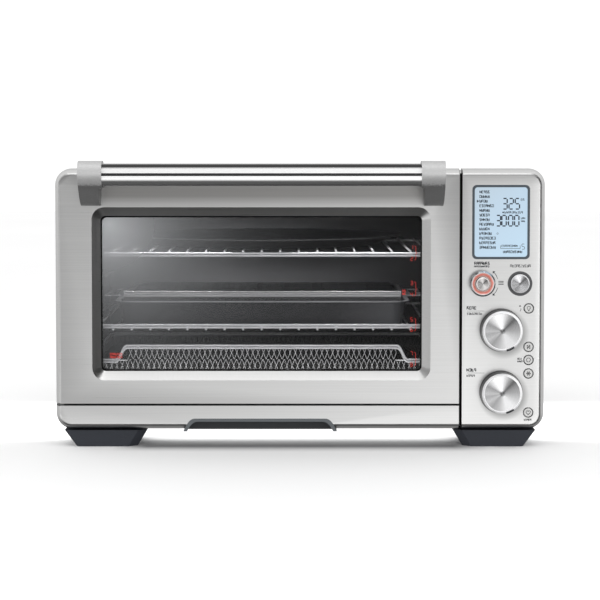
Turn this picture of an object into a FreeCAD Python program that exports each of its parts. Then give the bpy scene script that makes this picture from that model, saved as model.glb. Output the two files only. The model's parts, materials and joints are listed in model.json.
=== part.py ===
"""Countertop toaster oven with air-fry basket: one STEP file per separate piece, in millimetres.

+X is to the right of a person facing the oven, +Y goes to the back and +Z goes up. The origin is on the
counter, under the middle of the oven.
"""

import FreeCAD, Part
import math
import os

V = FreeCAD.Vector
X, Y, Z = V(1, 0, 0), V(0, 1, 0), V(0, 0, 1)

# Outside
HALF_W = 275.0  # half the width of the front
DEPTH_HALF = 222.0  # from the middle to the handle's front, and to the rear spacers' ends
FRONT_Y = -172.0  # outer face of the door and of the control panel
FRONT_BACK_Y = -150.0  # back of the door and of the control panel
FRONT_TOP = 312.6
FRONT_BOTTOM = 19.0
CORNER_R = 18.5  # the front's corners, seen from the front
EDGE_IN = 8.0  # how far the rounded edge comes in on the face
EDGE_DEEP = 20.0  # how far the same edge reaches back
SKIN = 1.0  # pressed steel of the front

# Casing
CASE_X = 267.5
CASE_TOP = 307.0
CASE_R = 14.0
CASE_FRONT_Y = -148.0
CASE_BACK_Y = 204.0
SHEET = 1.0
WRAP_T = 0.9
BASE_Z = 21.0

# Cavity, inside faces
CAV_L, CAV_R = -248.5, 161.5
CAV_MID = (CAV_L + CAV_R) / 2
CAV_TOP, CAV_BOTTOM = 285.0, 36.0
CAV_BACK_Y = 190.5
SILL_Z = 50.0
WALL = 1.0

# Door and the gaps round it
DOOR_RIGHT = 178.1
DOOR_BOTTOM = 49.3
PANEL_LEFT = 181.3
STRIP_TOP = 47.0
WINDOW_OUT = (-232.6, 146.1, 75.6, 269.5)
WINDOW_IN = (-223.3, 136.7, 85.2, 259.6)
WINDOW_R_OUT, WINDOW_R_IN = 14.0, 5.5
WINDOW_DEEP = 8.0
GLASS_T = 4.0
GLASS_LAP = 10.5
INNER_PANEL_T = 2.4

# Door hinge: the pivot is inside the door's lower edge
PIVOT_Y, PIVOT_Z = -168.0, 54.0
PIN_R = 1.5
RUN_FIT = 0.06
EAR_R = 2.5
ARM_T = 3.0
CHEEK_T = 1.4
CHEEK_GAP = 0.6
HINGE_X = (-260.5, 169.5)

# Handle
BAR_X0, BAR_X1 = -216.8, 133.0
BAR_Y0, BAR_Y1 = -219.0, -195.0
BAR_Z0, BAR_Z1 = 294.0, 318.5
BAR_WALL = 3.0
BRACKET_W = 26.2
ARM_INSET = 4.4  # the arm is this much narrower than the cap above it
ARM_TOP = 292.5
BRACKET_SIDE = (
    (-172, 271.5), (-186, 273), (-200, 281), (-213, 293), (-221, 304), (-221.7, 312),
    (-215, 319.8), (-205, 321.5), (-193, 319), (-187, 311), (-184, 300), (-172, 296),
)
HANDLE_SCREW_Z = (279.0, 289.0)
HANDLE_SCREW_R = 2.0

# Racks, ledges and pans
LEDGE_Z = (214.4, 174.5, 132.9, 93.5)  # top faces
LEDGE_W, LEDGE_T = 5.9, 1.5
RAIL_R, WIRE_R = 1.3, 1.2
RAIL_DROP = 2.8  # from the upper to the lower rail at a rack's front
RIM_BEND = 6.0
RAIL_IN = 4.5  # side rail's axis from the cavity wall
RACK_Y0, RACK_Y1 = -138.0, 176.0
WIRE_PITCH = 21.1
WIRE_COUNT = 19
UPPER_RAIL_Z, LOWER_RAIL_Z = 216.2, 134.7
BASKET_RIM_Z, BASKET_RAISED_Z = 95.4, 111.3
BASKET_FLOOR = 80.5
BASKET_X0, BASKET_X1 = -242.0, 155.0
RAISED_X0, RAISED_X1 = -196.0, 109.6
BEND_W = 14.0
PIZZA_R, PIZZA_Y, PIZZA_Z, PIZZA_TOP = 165.0, 21.0, 220.1, 231.5
PAN_X, PAN_Y = (-212.0, 126.0), (-132.0, 168.0)
PAN_Z, PAN_TOP = 134.0, 161.2
WING_OUT, WING_HALF, WING_EDGE = 20.0, 52.0, 6.0  # carrying wings at the roasting pan's ends
BROIL_X, BROIL_Y = (-201.0, 115.0), (-128.0, 164.0)
BROIL_Z, BROIL_LIP = 161.5, 172.8  # the insert's underside, and the top of its raised front
RIB_R = 1.1
PAN_T = 1.2

# Heat
UPPER_TUBE_Z, LOWER_TUBE_Z = 268.0, 60.0
TUBE_Y = (-80.0, 20.0, 120.0)
TUBE_R = 5.0
HOLDER_LONG = 8.5
FAN_Y, FAN_Z = 30.0, 160.0
LAMP_Y, LAMP_Z = 70.0, 250.0

# Crumb tray and its grip cut-out
TRAY_Z = 40.0
TRAY_LIP = 46.0
TRAY_X = (-242.0, 155.0)
TRAY_BACK_Y = 184.0
GRIP_X = (-130.8, 41.3)
GRIP_TOP = 32.4
GRIP_CURVE = 13.0  # how far in each end's curve meets the flat top
GRIP_T = 3.4
GRIP_DIP = 0.9

# Controls, as (x, z) on the face
LCD_OUT = (192.2, 256.4, 211.5, 294.4)
LCD_R = 5.0
LCD_RIM = 2.6
SELECT_AT = (203.5, 184.5)
SELECT_R, SELECT_IN, SELECT_CAP_R = 14.3, 7.9, 7.5
START_AT = (245.8, 184.2)
START_HOLE_R, START_CAP_R = 13.8, 10.6
KNOB_AT = {"temp_knob": (225.0, 132.2), "time_knob": (225.0, 62.6)}
KNOB_R, KNOB_TALL = 24.0, 19.0
ICON_X = 255.8
ICON_Z = {
    "lamp_button": 156.4,
    "fan_button": 113.2,
    "phone_button": 98.5,
    "frozen_button": 83.3,
    "favourite_button": 39.4,
}
ICON_R = 5.6
GAP = 0.3
SHAFT_R = 3.0
SUBFRAME_Y, SUBFRAME_T = -158.0, 3.0
BOARD_Y = -146.0

# Feet
FOOT_TOP, FOOT_LOW = (172.1, 265.0), (183.2, 251.2)
FOOT_Y = ((-165.5, -92.0), (126.0, 194.0))
FOOT_RIM = 18.5  # the foot's wide part stays clear of the front; a neck joins it to the base
FOOT_NECK = 18.5  # how far in from the rim the neck is
FOOT_DRAFT = 0.8
FOOT_CUT_IN, FOOT_CUT_OUT = 10.0, 2.5  # corners cut off on the inner and outer side


# ---------------------------------------------------------------- helpers


def box(x0, x1, y0, y1, z0, z1):
    return Part.makeBox(x1 - x0, y1 - y0, z1 - z0, V(x0, y0, z0))


def rod(start, direction, length, radius):
    return Part.makeCylinder(radius, length, V(*start), direction)


def rounded_wire(x0, x1, z0, z1, r, y):
    """Closed rounded rectangle in the plane at y."""
    k = r * (1 - math.sqrt(0.5))

    def p(x, z):
        return V(x, y, z)

    corners = (
        (p(x1 - r, z0), p(x1 - k, z0 + k), p(x1, z0 + r)),
        (p(x1, z1 - r), p(x1 - k, z1 - k), p(x1 - r, z1)),
        (p(x0 + r, z1), p(x0 + k, z1 - k), p(x0, z1 - r)),
        (p(x0, z0 + r), p(x0 + k, z0 + k), p(x0 + r, z0)),
    )
    edges = []
    last = corners[-1][2]
    for start, middle, end in corners:
        edges.append(Part.LineSegment(last, start).toShape())
        edges.append(Part.Arc(start, middle, end).toShape())
        last = end
    return Part.Wire(edges)


def slab(x0, x1, z0, z1, r, y0, y1):
    """Rounded rectangle given thickness from y0 to y1."""
    return Part.Face(rounded_wire(x0, x1, z0, z1, r, y0)).extrude(V(0, y1 - y0, 0))


def grown(rect, by):
    x0, x1, z0, z1 = rect
    return (x0 - by, x1 + by, z0 - by, z1 + by)


def prism(points, direction):
    """Straight-sided polygon pushed along a direction."""
    return Part.Face(Part.makePolygon([V(*p) for p in points] + [V(*points[0])])).extrude(direction)


def turned(profile, origin, axis):
    """Closed outline of (radius, distance along axis) points, turned a full circle."""
    side = Z if abs(axis.z) < 0.5 else X
    base = V(*origin)
    points = [base + side * r + axis * d for r, d in profile]
    face = Part.Face(Part.makePolygon(points + [points[0]]))
    return face.revolve(base, axis, 360)


def pillow(inset):
    """The whole front as one cushion-edged block, brought in by inset on its face and all its sides."""
    steps = 6
    wires = []
    for i in range(steps + 1):
        a = math.pi / 2 * (1 - i / steps)
        back = EDGE_DEEP * (1 - math.sin(a))
        narrow = EDGE_IN * (1 - math.cos(a)) + inset
        y = FRONT_Y + inset + back
        wires.append(
            rounded_wire(
                -HALF_W + narrow, HALF_W - narrow, FRONT_BOTTOM + narrow, FRONT_TOP - narrow,
                CORNER_R - narrow, y,
            )
        )
    front = Part.makeLoft(wires, True, False)
    edge_end = FRONT_Y + inset + EDGE_DEEP
    block = slab(
        -HALF_W + inset, HALF_W - inset, FRONT_BOTTOM + inset, FRONT_TOP - inset, CORNER_R - inset,
        edge_end, FRONT_BACK_Y + 1.0,
    )
    return front.fuse(block)


PILLOW = pillow(0.0)
PILLOW_IN = pillow(SKIN)


def front_skin(x0, x1, z0, z1, open_left=True, open_right=True, open_bottom=True, open_top=True):
    """The pressed skin of one part of the front. An open side is one where the pillow's own edge is."""
    far = 2 * HALF_W
    outer = PILLOW.common(box(x0, x1, FRONT_Y - 1, FRONT_BACK_Y, z0, z1))
    inner = PILLOW_IN.common(
        box(
            x0 - far if open_left else x0 + SKIN,
            x1 + far if open_right else x1 - SKIN,
            FRONT_Y - 1, 0,
            z0 - far if open_bottom else z0 + SKIN,
            z1 + far if open_top else z1 - SKIN,
        )
    )
    return outer.cut(inner)


def hinge_notch(x):
    """Room in the door for the fixed hinge arm, over the door's whole swing."""
    half = ARM_T / 2 + CHEEK_GAP
    return box(x - half, x + half, FRONT_Y + SKIN, FRONT_BACK_Y + 1, DOOR_BOTTOM - 1, PIVOT_Z + 3.3)


def handle_screw_places():
    for x in (BAR_X0 - BRACKET_W / 2 - 4, BAR_X1 + BRACKET_W / 2 + 4):
        for z in HANDLE_SCREW_Z:
            yield x, z


def rear_screw_places():
    for x in (-250.0, -85.0, 85.0, 250.0):
        for z in (34.0, 294.0):
            yield x, z


# ---------------------------------------------------------------- casing


def base_plate():
    plate = box(-CASE_X + WRAP_T, CASE_X - WRAP_T, CASE_FRONT_Y, CASE_BACK_Y, BASE_Z, BASE_Z + SHEET)
    slots = [
        box(x, x + 40, y, y + 4, BASE_Z - 1, BASE_Z + SHEET + 1)
        for x in (-200, -120, -40, 40, 120)
        for y in range(-40, 100, 14)
    ]
    return plate.cut(slots)


def outer_wrap():
    y0 = CASE_FRONT_Y + SHEET
    outer = slab(-CASE_X, CASE_X, -40, CASE_TOP, CASE_R, y0, CASE_BACK_Y)
    inner = slab(
        -CASE_X + WRAP_T, CASE_X - WRAP_T, -50, CASE_TOP - WRAP_T, CASE_R - WRAP_T, y0 - 1, CASE_BACK_Y + 1
    )
    wrap = outer.cut(inner).cut(box(-300, 300, -300, 300, -60, BASE_Z))
    slots = [
        box(-300, 300, 96 + 7 * i, 99 + 7 * i, z, z + 34)
        for i in range(12)
        for z in (60, 104)
    ]
    return wrap.cut(slots)


def rear_cover():
    y0, y1 = CASE_BACK_Y, CASE_BACK_Y + SHEET
    cover = slab(-CASE_X, CASE_X, -40, CASE_TOP, CASE_R, y0, y1)
    cover = cover.cut(box(-300, 300, 0, 300, -60, BASE_Z))
    slots = [
        box(x + 9 * i, x + 9 * i + 4, y0 - 1, y1 + 1, z, z + 30)
        for x in (-230, 160)
        for i in range(9)
        for z in (120, 160)
    ]
    holes = [rod((x, y0 - 1, z), Y, 5, PIN_R) for x, z in rear_screw_places()]
    vent = rod((220, y0 - 1, 230), Y, 5, 24)
    bars = [box(192, 248, y0, y1, 207 + 8 * i, 209 + 8 * i) for i in range(7)]
    cord_hole = rod((-215, y0 - 1, 60), Y, 5, 8)
    return cover.cut(slots + holes + [vent, cord_hole]).fuse(bars)


def rear_spacers():
    pads = []
    for x in (-190, 190):
        pad = slab(x - 34, x + 34, 272, 290, 6, CASE_BACK_Y + SHEET, DEPTH_HALF)
        hollow = slab(x - 30, x + 30, 276, 286, 4, CASE_BACK_Y + SHEET + 3, DEPTH_HALF + 1)
        pads.append(pad.cut(hollow))
    return Part.makeCompound(pads)


def cord_gland():
    y = CASE_BACK_Y + SHEET
    flange = rod((-215, y, 60), Y, 3, 12)
    neck = rod((-215, y - 6, 60), Y, 13, 7.9)
    return flange.fuse(neck).removeSplitter()


def casing_screws():
    screws = []
    for x, z in rear_screw_places():
        head = rod((x, CASE_BACK_Y + SHEET, z), Y, 2, 3.5)
        shank = rod((x, CASE_BACK_Y - 5, z), Y, 5 + SHEET, PIN_R)
        cross = [
            box(x - 2.4, x + 2.4, CASE_BACK_Y + SHEET + 1.2, CASE_BACK_Y + 5, z - 0.4, z + 0.4),
            box(x - 0.4, x + 0.4, CASE_BACK_Y + SHEET + 1.2, CASE_BACK_Y + 5, z - 2.4, z + 2.4),
        ]
        screws.append(head.fuse(shank).cut(cross))
    return Part.makeCompound(screws)


def front_frame():
    y0, y1 = CASE_FRONT_Y, CASE_FRONT_Y + SHEET
    frame = slab(-CASE_X, CASE_X, -40, CASE_TOP, CASE_R, y0, y1)
    openings = [
        box(-300, 300, -300, 300, -60, BASE_Z + SHEET),
        box(CAV_L, CAV_R, y0 - 1, y1 + 1, SILL_Z, CAV_TOP),
        box(TRAY_X[0] - 2, TRAY_X[1] + 2, y0 - 1, y1 + 1, TRAY_Z - 2.5, TRAY_LIP + 1.6),
        box(186, 264, y0 - 1, y1 + 1, 38, 300),
    ]
    for x in HINGE_X:
        half = ARM_T / 2
        openings.append(box(x - half, x + half, y0 - 1, y1 + 1, PIVOT_Z - EAR_R, PIVOT_Z + EAR_R))
    return frame.cut(openings)


def foot(x_side, y_range):
    """A moulded foot: wider at the top, with its upright corners cut off, under a narrower neck."""

    def ring(ends, draft, z):
        (y0, y1), (inner, outer) = y_range, ends
        y0, y1 = y0 + draft, y1 - draft
        a, b = FOOT_CUT_IN, FOOT_CUT_OUT
        outline = (
            (inner + a, y0), (outer - b, y0), (outer, y0 + b), (outer, y1 - b),
            (outer - b, y1), (inner + a, y1), (inner, y1 - a), (inner, y0 + a),
        )
        return Part.makePolygon([V(x_side * x, y, z) for x, y in outline + outline[:1]])

    wide = Part.makeLoft([ring(FOOT_TOP, 0.0, FOOT_RIM), ring(FOOT_LOW, FOOT_DRAFT, 0.0)], True, True)
    ends = sorted(x_side * x for x in (FOOT_TOP[0] + FOOT_NECK, FOOT_TOP[1] - FOOT_NECK))
    neck = box(*ends, y_range[0] + FOOT_NECK, y_range[1] - FOOT_NECK, FOOT_RIM - 1, BASE_Z)
    return wide.fuse(neck)


def feet():
    return Part.makeCompound([foot(side, y) for side in (-1, 1) for y in FOOT_Y])


def hinge_brackets():
    """Plates behind the front frame, each with an arm that carries the door's hinge pin."""
    pieces = []
    back = CASE_FRONT_Y + SHEET
    for x in HINGE_X:
        half = ARM_T / 2
        arm = box(x - half, x + half, PIVOT_Y, back + 12, PIVOT_Z - EAR_R, PIVOT_Z + EAR_R)
        ear = rod((x - half, PIVOT_Y, PIVOT_Z), X, ARM_T, EAR_R)
        plate = box(x - 6, x + 5, back, back + SHEET, 40, 90)
        hole = rod((x - 5, PIVOT_Y, PIVOT_Z), X, 10, PIN_R + RUN_FIT)
        pieces.append(arm.fuse([ear, plate]).cut(hole))
    return Part.makeCompound(pieces)


# ---------------------------------------------------------------- cavity


def cavity_left():
    return box(CAV_L - WALL, CAV_L, CASE_FRONT_Y + SHEET, CAV_BACK_Y, CAV_BOTTOM, CAV_TOP + WALL)


def cavity_right():
    wall = box(CAV_R, CAV_R + WALL, CASE_FRONT_Y + SHEET, CAV_BACK_Y, CAV_BOTTOM, CAV_TOP + WALL)
    fan_hole = rod((CAV_R - 1, FAN_Y, FAN_Z), X, 5, 52)
    lamp_hole = rod((CAV_R - 1, LAMP_Y, LAMP_Z), X, 5, 17)
    return wall.cut([fan_hole, lamp_hole])


def cavity_top():
    return box(CAV_L, CAV_R, CASE_FRONT_Y + SHEET, CAV_BACK_Y, CAV_TOP, CAV_TOP + WALL)


def cavity_back():
    wall = box(CAV_L - WALL, CAV_R + WALL, CAV_BACK_Y, CAV_BACK_Y + WALL, CAV_BOTTOM, CAV_TOP + WALL)
    raised = slab(-158, 67, 70, 247, 22, CAV_BACK_Y - 2, CAV_BACK_Y)
    return wall.fuse(raised)


def rack_guides():
    """Ledges on both cavity walls for the racks, and a lower pair that the crumb tray runs on."""
    y0, y1 = RACK_Y0 + 4, CAV_BACK_Y - 4
    ledges = []
    for top in LEDGE_Z:
        ledges.append(box(CAV_L, CAV_L + LEDGE_W, y0, y1, top - LEDGE_T, top))
        ledges.append(box(CAV_R - LEDGE_W, CAV_R, y0, y1, top - LEDGE_T, top))
    for x0, x1 in ((CAV_L, CAV_L + 12), (CAV_R - 12, CAV_R)):
        ledges.append(box(x0, x1, y0, y1, TRAY_Z - 2, TRAY_Z - 0.3))
    return Part.makeCompound(ledges)


def tube_places(z):
    return [(CAV_L + HOLDER_LONG, y, z) for y in TUBE_Y]


def heating_tubes(z):
    length = CAV_R - CAV_L - 2 * HOLDER_LONG
    return Part.makeCompound([rod(place, X, length, TUBE_R) for place in tube_places(z)])


def upper_elements():
    return heating_tubes(UPPER_TUBE_Z)


def lower_elements():
    return heating_tubes(LOWER_TUBE_Z)


def element_holders():
    holders = []
    for z in (UPPER_TUBE_Z, LOWER_TUBE_Z):
        for y in TUBE_Y:
            for x in (CAV_L, CAV_R - HOLDER_LONG):
                holders.append(slab(x, x + HOLDER_LONG, z - 8, z + 8, 2, y - 8, y + 8))
    return Part.makeCompound(holders)


def fan_cover():
    x0 = CAV_R + WALL
    plate = rod((x0, FAN_Y, FAN_Z), X, 1.2, 60)
    holes = []
    pitch, hole_r = 11.0, 3.4
    for ring in range(1, 5):
        for i in range(6 * ring):
            a = math.tau * i / (6 * ring)
            centre = (x0 - 1, FAN_Y + ring * pitch * math.cos(a), FAN_Z + ring * pitch * math.sin(a))
            holes.append(rod(centre, X, 4, hole_r))
    return plate.cut(holes)


def convection_fan():
    hub_x = CAV_R + 8
    hub = rod((hub_x, FAN_Y, FAN_Z), X, 14, 9)
    disc = rod((hub_x + 12, FAN_Y, FAN_Z), X, 1.2, 46)
    shaft = rod((hub_x + 10, FAN_Y, FAN_Z), X, 26, 2.5)
    blades = []
    for i in range(9):
        blade = box(hub_x, hub_x + 12.5, FAN_Y + 7, FAN_Y + 45, FAN_Z - 0.6, FAN_Z + 0.6)
        blade.rotate(V(hub_x, FAN_Y, FAN_Z), X, 40 * i)
        blades.append(blade)
    return hub.fuse([disc, shaft] + blades)


def convection_motor():
    x0 = CAV_R + 30
    can = rod((x0, FAN_Y, FAN_Z), X, 34, 24)
    bore = rod((x0 - 1, FAN_Y, FAN_Z), X, 17, 2.5 + RUN_FIT)
    legs = [
        box(CAV_R + WALL, x0 + 4, FAN_Y - 6, FAN_Y + 6, z, z + 4)
        for z in (FAN_Z - 66, FAN_Z + 62)
    ]
    strap = box(x0, x0 + 4, FAN_Y - 6, FAN_Y + 6, FAN_Z - 66, FAN_Z + 66)
    return can.fuse(legs + [strap]).cut(bore)


def lamp_bulb():
    x0 = CAV_R + WALL
    profile = ((0, 3), (5, 4), (8.5, 8), (10, 13), (8.6, 18), (7, 21), (7, 38), (0, 38))
    return turned(profile, (x0, LAMP_Y, LAMP_Z), X)


def lamp_lens():
    profile = ((0, 2.9), (19, 2.9), (19, 1.2), (12, 0), (0, -0.6))
    return turned(profile, (CAV_R - 2.9, LAMP_Y, LAMP_Z), X)


def cooling_fan_housing():
    y0, y1 = CASE_BACK_Y - 18, CASE_BACK_Y - 1
    body = box(190, 250, y0, y1, 200, 260).cut(rod((220, y0 - 1, 230), Y, 30, 27))
    arms = [box(192, 248, y0, y0 + 2, 228, 232), box(218, 222, y0, y0 + 2, 202, 258)]
    spindle = rod((220, y0, 230), Y, 13, 2)
    return body.fuse(arms + [spindle])


def cooling_fan():
    y0 = CASE_BACK_Y - 14
    hub = rod((220, y0, 230), Y, 11, 10)
    blades = []
    for i in range(7):
        blade = box(220 + 8, 220 + 25.5, y0 + 4, y0 + 5.4, 230 - 7, 230 + 7)
        blade.rotate(V(220 + 16, y0 + 4.7, 230), X, 32)
        blade.rotate(V(220, y0, 230), Y, 360 / 7 * i)
        blades.append(blade)
    return hub.fuse(blades).cut(rod((220, y0 - 1, 230), Y, 20, 2 + RUN_FIT))


# ---------------------------------------------------------------- control side


def control_panel():
    skin = front_skin(PANEL_LEFT, 2 * HALF_W, 0, 2 * FRONT_TOP, open_left=False)
    y0 = FRONT_Y - 1
    holes = [
        slab(*LCD_OUT, LCD_R, y0, y0 + 4),
        rod((SELECT_AT[0], y0, SELECT_AT[1]), Y, 4, 6),
        rod((START_AT[0], y0, START_AT[1]), Y, 4, START_HOLE_R),
    ]
    holes += [rod((x, y0, z), Y, 4, SHAFT_R + 0.5) for x, z in KNOB_AT.values()]
    holes += [rod((ICON_X, y0, z), Y, 4, ICON_R + GAP) for z in ICON_Z.values()]
    return skin.cut(holes)


def panel_subframe():
    """Moulded carrier behind the panel, with the dark collar round the start button."""
    y1 = SUBFRAME_Y + SUBFRAME_T
    plate = slab(PANEL_LEFT + 2, HALF_W - 3, FRONT_BOTTOM + 3, FRONT_TOP - 3, 12, SUBFRAME_Y, y1)
    x, z = START_AT
    collar = rod((x, FRONT_Y - 0.3, z), Y, SUBFRAME_Y - FRONT_Y + 1, START_HOLE_R)
    collar = collar.cut(rod((x, FRONT_Y - 1, z), Y, SUBFRAME_Y - FRONT_Y + 1, START_CAP_R + GAP))
    holes = [rod((a, SUBFRAME_Y - 1, b), Y, 6, SHAFT_R + 0.5) for a, b in KNOB_AT.values()]
    holes.append(rod((SELECT_AT[0], SUBFRAME_Y - 1, SELECT_AT[1]), Y, 6, 5))
    return plate.fuse(collar).cut(holes)


def lcd_bezel():
    ring = slab(*LCD_OUT, LCD_R, FRONT_Y - 0.6, SUBFRAME_Y)
    inside = grown(LCD_OUT, -LCD_RIM)
    return ring.cut(slab(*inside, LCD_R - 1.6, FRONT_Y - 2, SUBFRAME_Y + 1))


def lcd_window():
    inside = grown(LCD_OUT, -LCD_RIM)
    return slab(*inside, LCD_R - 1.6, FRONT_Y + 0.8, FRONT_Y + 4)


def encoders():
    """Switch bodies behind the subframe that the knobs' and the dial's shafts turn in."""
    pieces = []
    places = [(at, SHAFT_R) for at in KNOB_AT.values()] + [(SELECT_AT, 4.5)]
    for (x, z), bore in places:
        body = box(x - 8, x + 8, SUBFRAME_Y + SUBFRAME_T, BOARD_Y, z - 8, z + 8)
        pieces.append(body.cut(rod((x, SUBFRAME_Y, z), Y, 30, bore + RUN_FIT)))
    return Part.makeCompound(pieces)


def control_board():
    board = box(188, 262, BOARD_Y, BOARD_Y + 1.6, 42, 298)
    chips = [
        box(200, 220, BOARD_Y + 1.6, BOARD_Y + 4, 230, 250),
        box(228, 250, BOARD_Y + 1.6, BOARD_Y + 6, 100, 112),
        box(200, 240, BOARD_Y + 1.6, BOARD_Y + 12, 50, 58),
    ]
    return board.fuse(chips)


def power_board():
    board = box(244, 245.6, -60, 120, 60, 190)
    parts = [
        box(214, 244, -40, 0, 120, 160),
        box(224, 244, 20, 44, 70, 100),
        box(224, 244, 56, 80, 70, 100),
        rod((226, 30, 150), X, 18, 9),
        rod((226, 60, 150), X, 18, 9),
        box(232, 244, 90, 110, 110, 170),
    ]
    return board.fuse(parts)


def knob(place):
    """A spun knob with a base ring, a chamfered rim and a dished face, on its own shaft."""
    x, z = place
    t = KNOB_TALL
    profile = (
        (0, 0.8), (KNOB_R, 0.8), (KNOB_R, 3.0), (KNOB_R - 0.9, 3.0), (KNOB_R - 0.9, 3.8),
        (KNOB_R - 0.4, 4.4), (KNOB_R - 1.6, t - 2.2), (KNOB_R - 3.4, t), (KNOB_R - 4.0, t),
        (KNOB_R - 4.4, t - 0.4), (0, t - 0.8),
    )
    body = turned(profile, (x, FRONT_Y, z), V(0, -1, 0))
    return body.fuse(rod((x, FRONT_Y - 2, z), Y, 24, SHAFT_R))


def temp_knob():
    return knob(KNOB_AT["temp_knob"])


def time_knob():
    return knob(KNOB_AT["time_knob"])


def select_dial():
    x, z = SELECT_AT
    profile = (
        (0, 0.8), (SELECT_R, 0.8), (SELECT_R, 8.0), (SELECT_R - 1.6, 10.0), (SELECT_R - 2.2, 10.0),
        (SELECT_IN, 7.0), (SELECT_IN, 2.6), (0, 2.6),
    )
    body = turned(profile, (x, FRONT_Y, z), V(0, -1, 0))
    tube = rod((x, FRONT_Y - 2, z), Y, 23, 4.5)
    return body.fuse(tube).cut(rod((x, FRONT_Y - 20, z), Y, 60, 2.4 + RUN_FIT))


def select_button():
    x, z = SELECT_AT
    profile = ((0, 4.6), (SELECT_CAP_R, 4.6), (SELECT_CAP_R, 10.6), (SELECT_CAP_R - 1.2, 11.6), (0, 11.6))
    cap = turned(profile, (x, FRONT_Y, z), V(0, -1, 0))
    return cap.fuse(rod((x, FRONT_Y - 5, z), Y, 27, 2.4))


def start_button():
    x, z = START_AT
    profile = (
        (0, -12.0), (START_CAP_R, -12.0), (START_CAP_R, 2.4), (START_CAP_R - 1.2, 3.6), (0, 3.2),
    )
    return turned(profile, (x, FRONT_Y, z), V(0, -1, 0))


def icon_button(z):
    profile = ((0, -12.4), (ICON_R, -12.4), (ICON_R, -0.3), (ICON_R - 0.4, 0.2), (0, 0.2))
    return turned(profile, (ICON_X, FRONT_Y, z), V(0, -1, 0))


# ---------------------------------------------------------------- door


def window_loft(more):
    """The sloping recess of the window, made larger on every side by more."""
    out, inn = grown(WINDOW_OUT, more), grown(WINDOW_IN, more)
    return Part.makeLoft(
        [
            rounded_wire(*out, WINDOW_R_OUT + more, FRONT_Y),
            rounded_wire(*inn, WINDOW_R_IN + more, FRONT_Y + WINDOW_DEEP),
        ],
        True, True,
    )


def door_outer_panel():
    skin = front_skin(
        -2 * HALF_W, DOOR_RIGHT, DOOR_BOTTOM, 2 * FRONT_TOP, open_right=False, open_bottom=False
    )
    recess = window_loft(0.0)
    bevel = window_loft(SKIN + 0.4)
    skin = skin.cut(slab(*WINDOW_OUT, WINDOW_R_OUT, FRONT_Y - 1, FRONT_Y + 2 * SKIN))
    skin = skin.fuse(bevel.cut(recess))
    holes = [rod((x, FRONT_Y - 1, z), Y, 4, HANDLE_SCREW_R) for x, z in handle_screw_places()]
    return skin.cut(holes + [hinge_notch(x) for x in HINGE_X])


def door_glass():
    y0 = FRONT_Y + WINDOW_DEEP
    return slab(*grown(WINDOW_IN, GLASS_LAP), 6, y0, y0 + GLASS_T)


def door_inner_panel():
    """Inner steel liner; its raised ring holds the glass against the front skin."""
    y1 = FRONT_BACK_Y
    y0 = y1 - INNER_PANEL_T
    m = SKIN + 0.9
    plate = slab(-HALF_W + m, DOOR_RIGHT - m, DOOR_BOTTOM + m, FRONT_TOP - m, CORNER_R - m - 2, y0, y1)
    glass_back = FRONT_Y + WINDOW_DEEP + GLASS_T
    ring = slab(*grown(WINDOW_IN, GLASS_LAP), 6, glass_back, y0)
    hole = slab(*grown(WINDOW_IN, -1.0), WINDOW_R_IN, glass_back - 1, y1 + 1)
    hollow = slab(*grown(WINDOW_IN, GLASS_LAP + 4), 8, y0 + 1.2, y1 + 1)
    hollow = hollow.cut(slab(*grown(WINDOW_IN, 3.0), 7, y0, y1 + 2))
    return plate.fuse(ring).cut([hole, hollow] + [hinge_notch(x) for x in HINGE_X])


def handle_bar():
    """Rounded square tube with a narrow groove along its front."""
    bar = box(BAR_X0, BAR_X1, BAR_Y0, BAR_Y1, BAR_Z0, BAR_Z1)
    long_edges = [e for e in bar.Edges if abs(e.tangentAt(e.FirstParameter).x) > 0.9]
    bar = bar.makeFillet(9.0, long_edges)
    groove_z, groove, depth = 306.5, 1.6, 1.1
    groove_cut = prism(
        (
            (BAR_X0 - 1, BAR_Y0 - 0.1, groove_z - groove), (BAR_X0 - 1, BAR_Y0 + depth, groove_z - groove / 2),
            (BAR_X0 - 1, BAR_Y0 + depth, groove_z + groove / 2), (BAR_X0 - 1, BAR_Y0 - 0.1, groove_z + groove),
        ),
        V(BAR_X1 - BAR_X0 + 2, 0, 0),
    )
    w = BAR_WALL
    bore = box(BAR_X0 - 1, BAR_X1 + 1, BAR_Y0 + w, BAR_Y1 - w, BAR_Z0 + w, BAR_Z1 - w)
    return bar.cut([groove_cut, bore])


def handle_bracket(x0, inner_side):
    """Cast end of the handle: a cap round the bar's end and a narrower arm down to the door."""
    curve = Part.BSplineCurve()
    curve.interpolate([V(x0, y, z) for y, z in BRACKET_SIDE])
    first, last = (V(x0, *BRACKET_SIDE[i]) for i in (0, -1))
    outline = Part.Wire([curve.toShape(), Part.LineSegment(last, first).toShape()])
    body = Part.Face(outline).extrude(V(BRACKET_W, 0, 0))
    inner = x0 + BRACKET_W if inner_side > 0 else x0
    arm = inner - inner_side * ARM_INSET
    notch = prism(
        (
            (inner + inner_side, -300, ARM_TOP), (inner, -300, ARM_TOP),
            (arm, -300, ARM_TOP - ARM_INSET / 2), (arm - inner_side, -300, 268),
            (inner + inner_side, -300, 268),
        ),
        V(0, 200, 0),
    )
    return body.cut(notch)


def handle_brackets():
    pieces = [
        handle_bracket(BAR_X0 - BRACKET_W, 1).cut(box(BAR_X0, BAR_X0 + 5, -230, -150, 200, 330)),
        handle_bracket(BAR_X1, -1),
    ]
    bores = [rod((x, FRONT_Y - 9, z), Y, 20, HANDLE_SCREW_R) for x, z in handle_screw_places()]
    return Part.makeCompound([p.cut(bores) for p in pieces])


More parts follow.
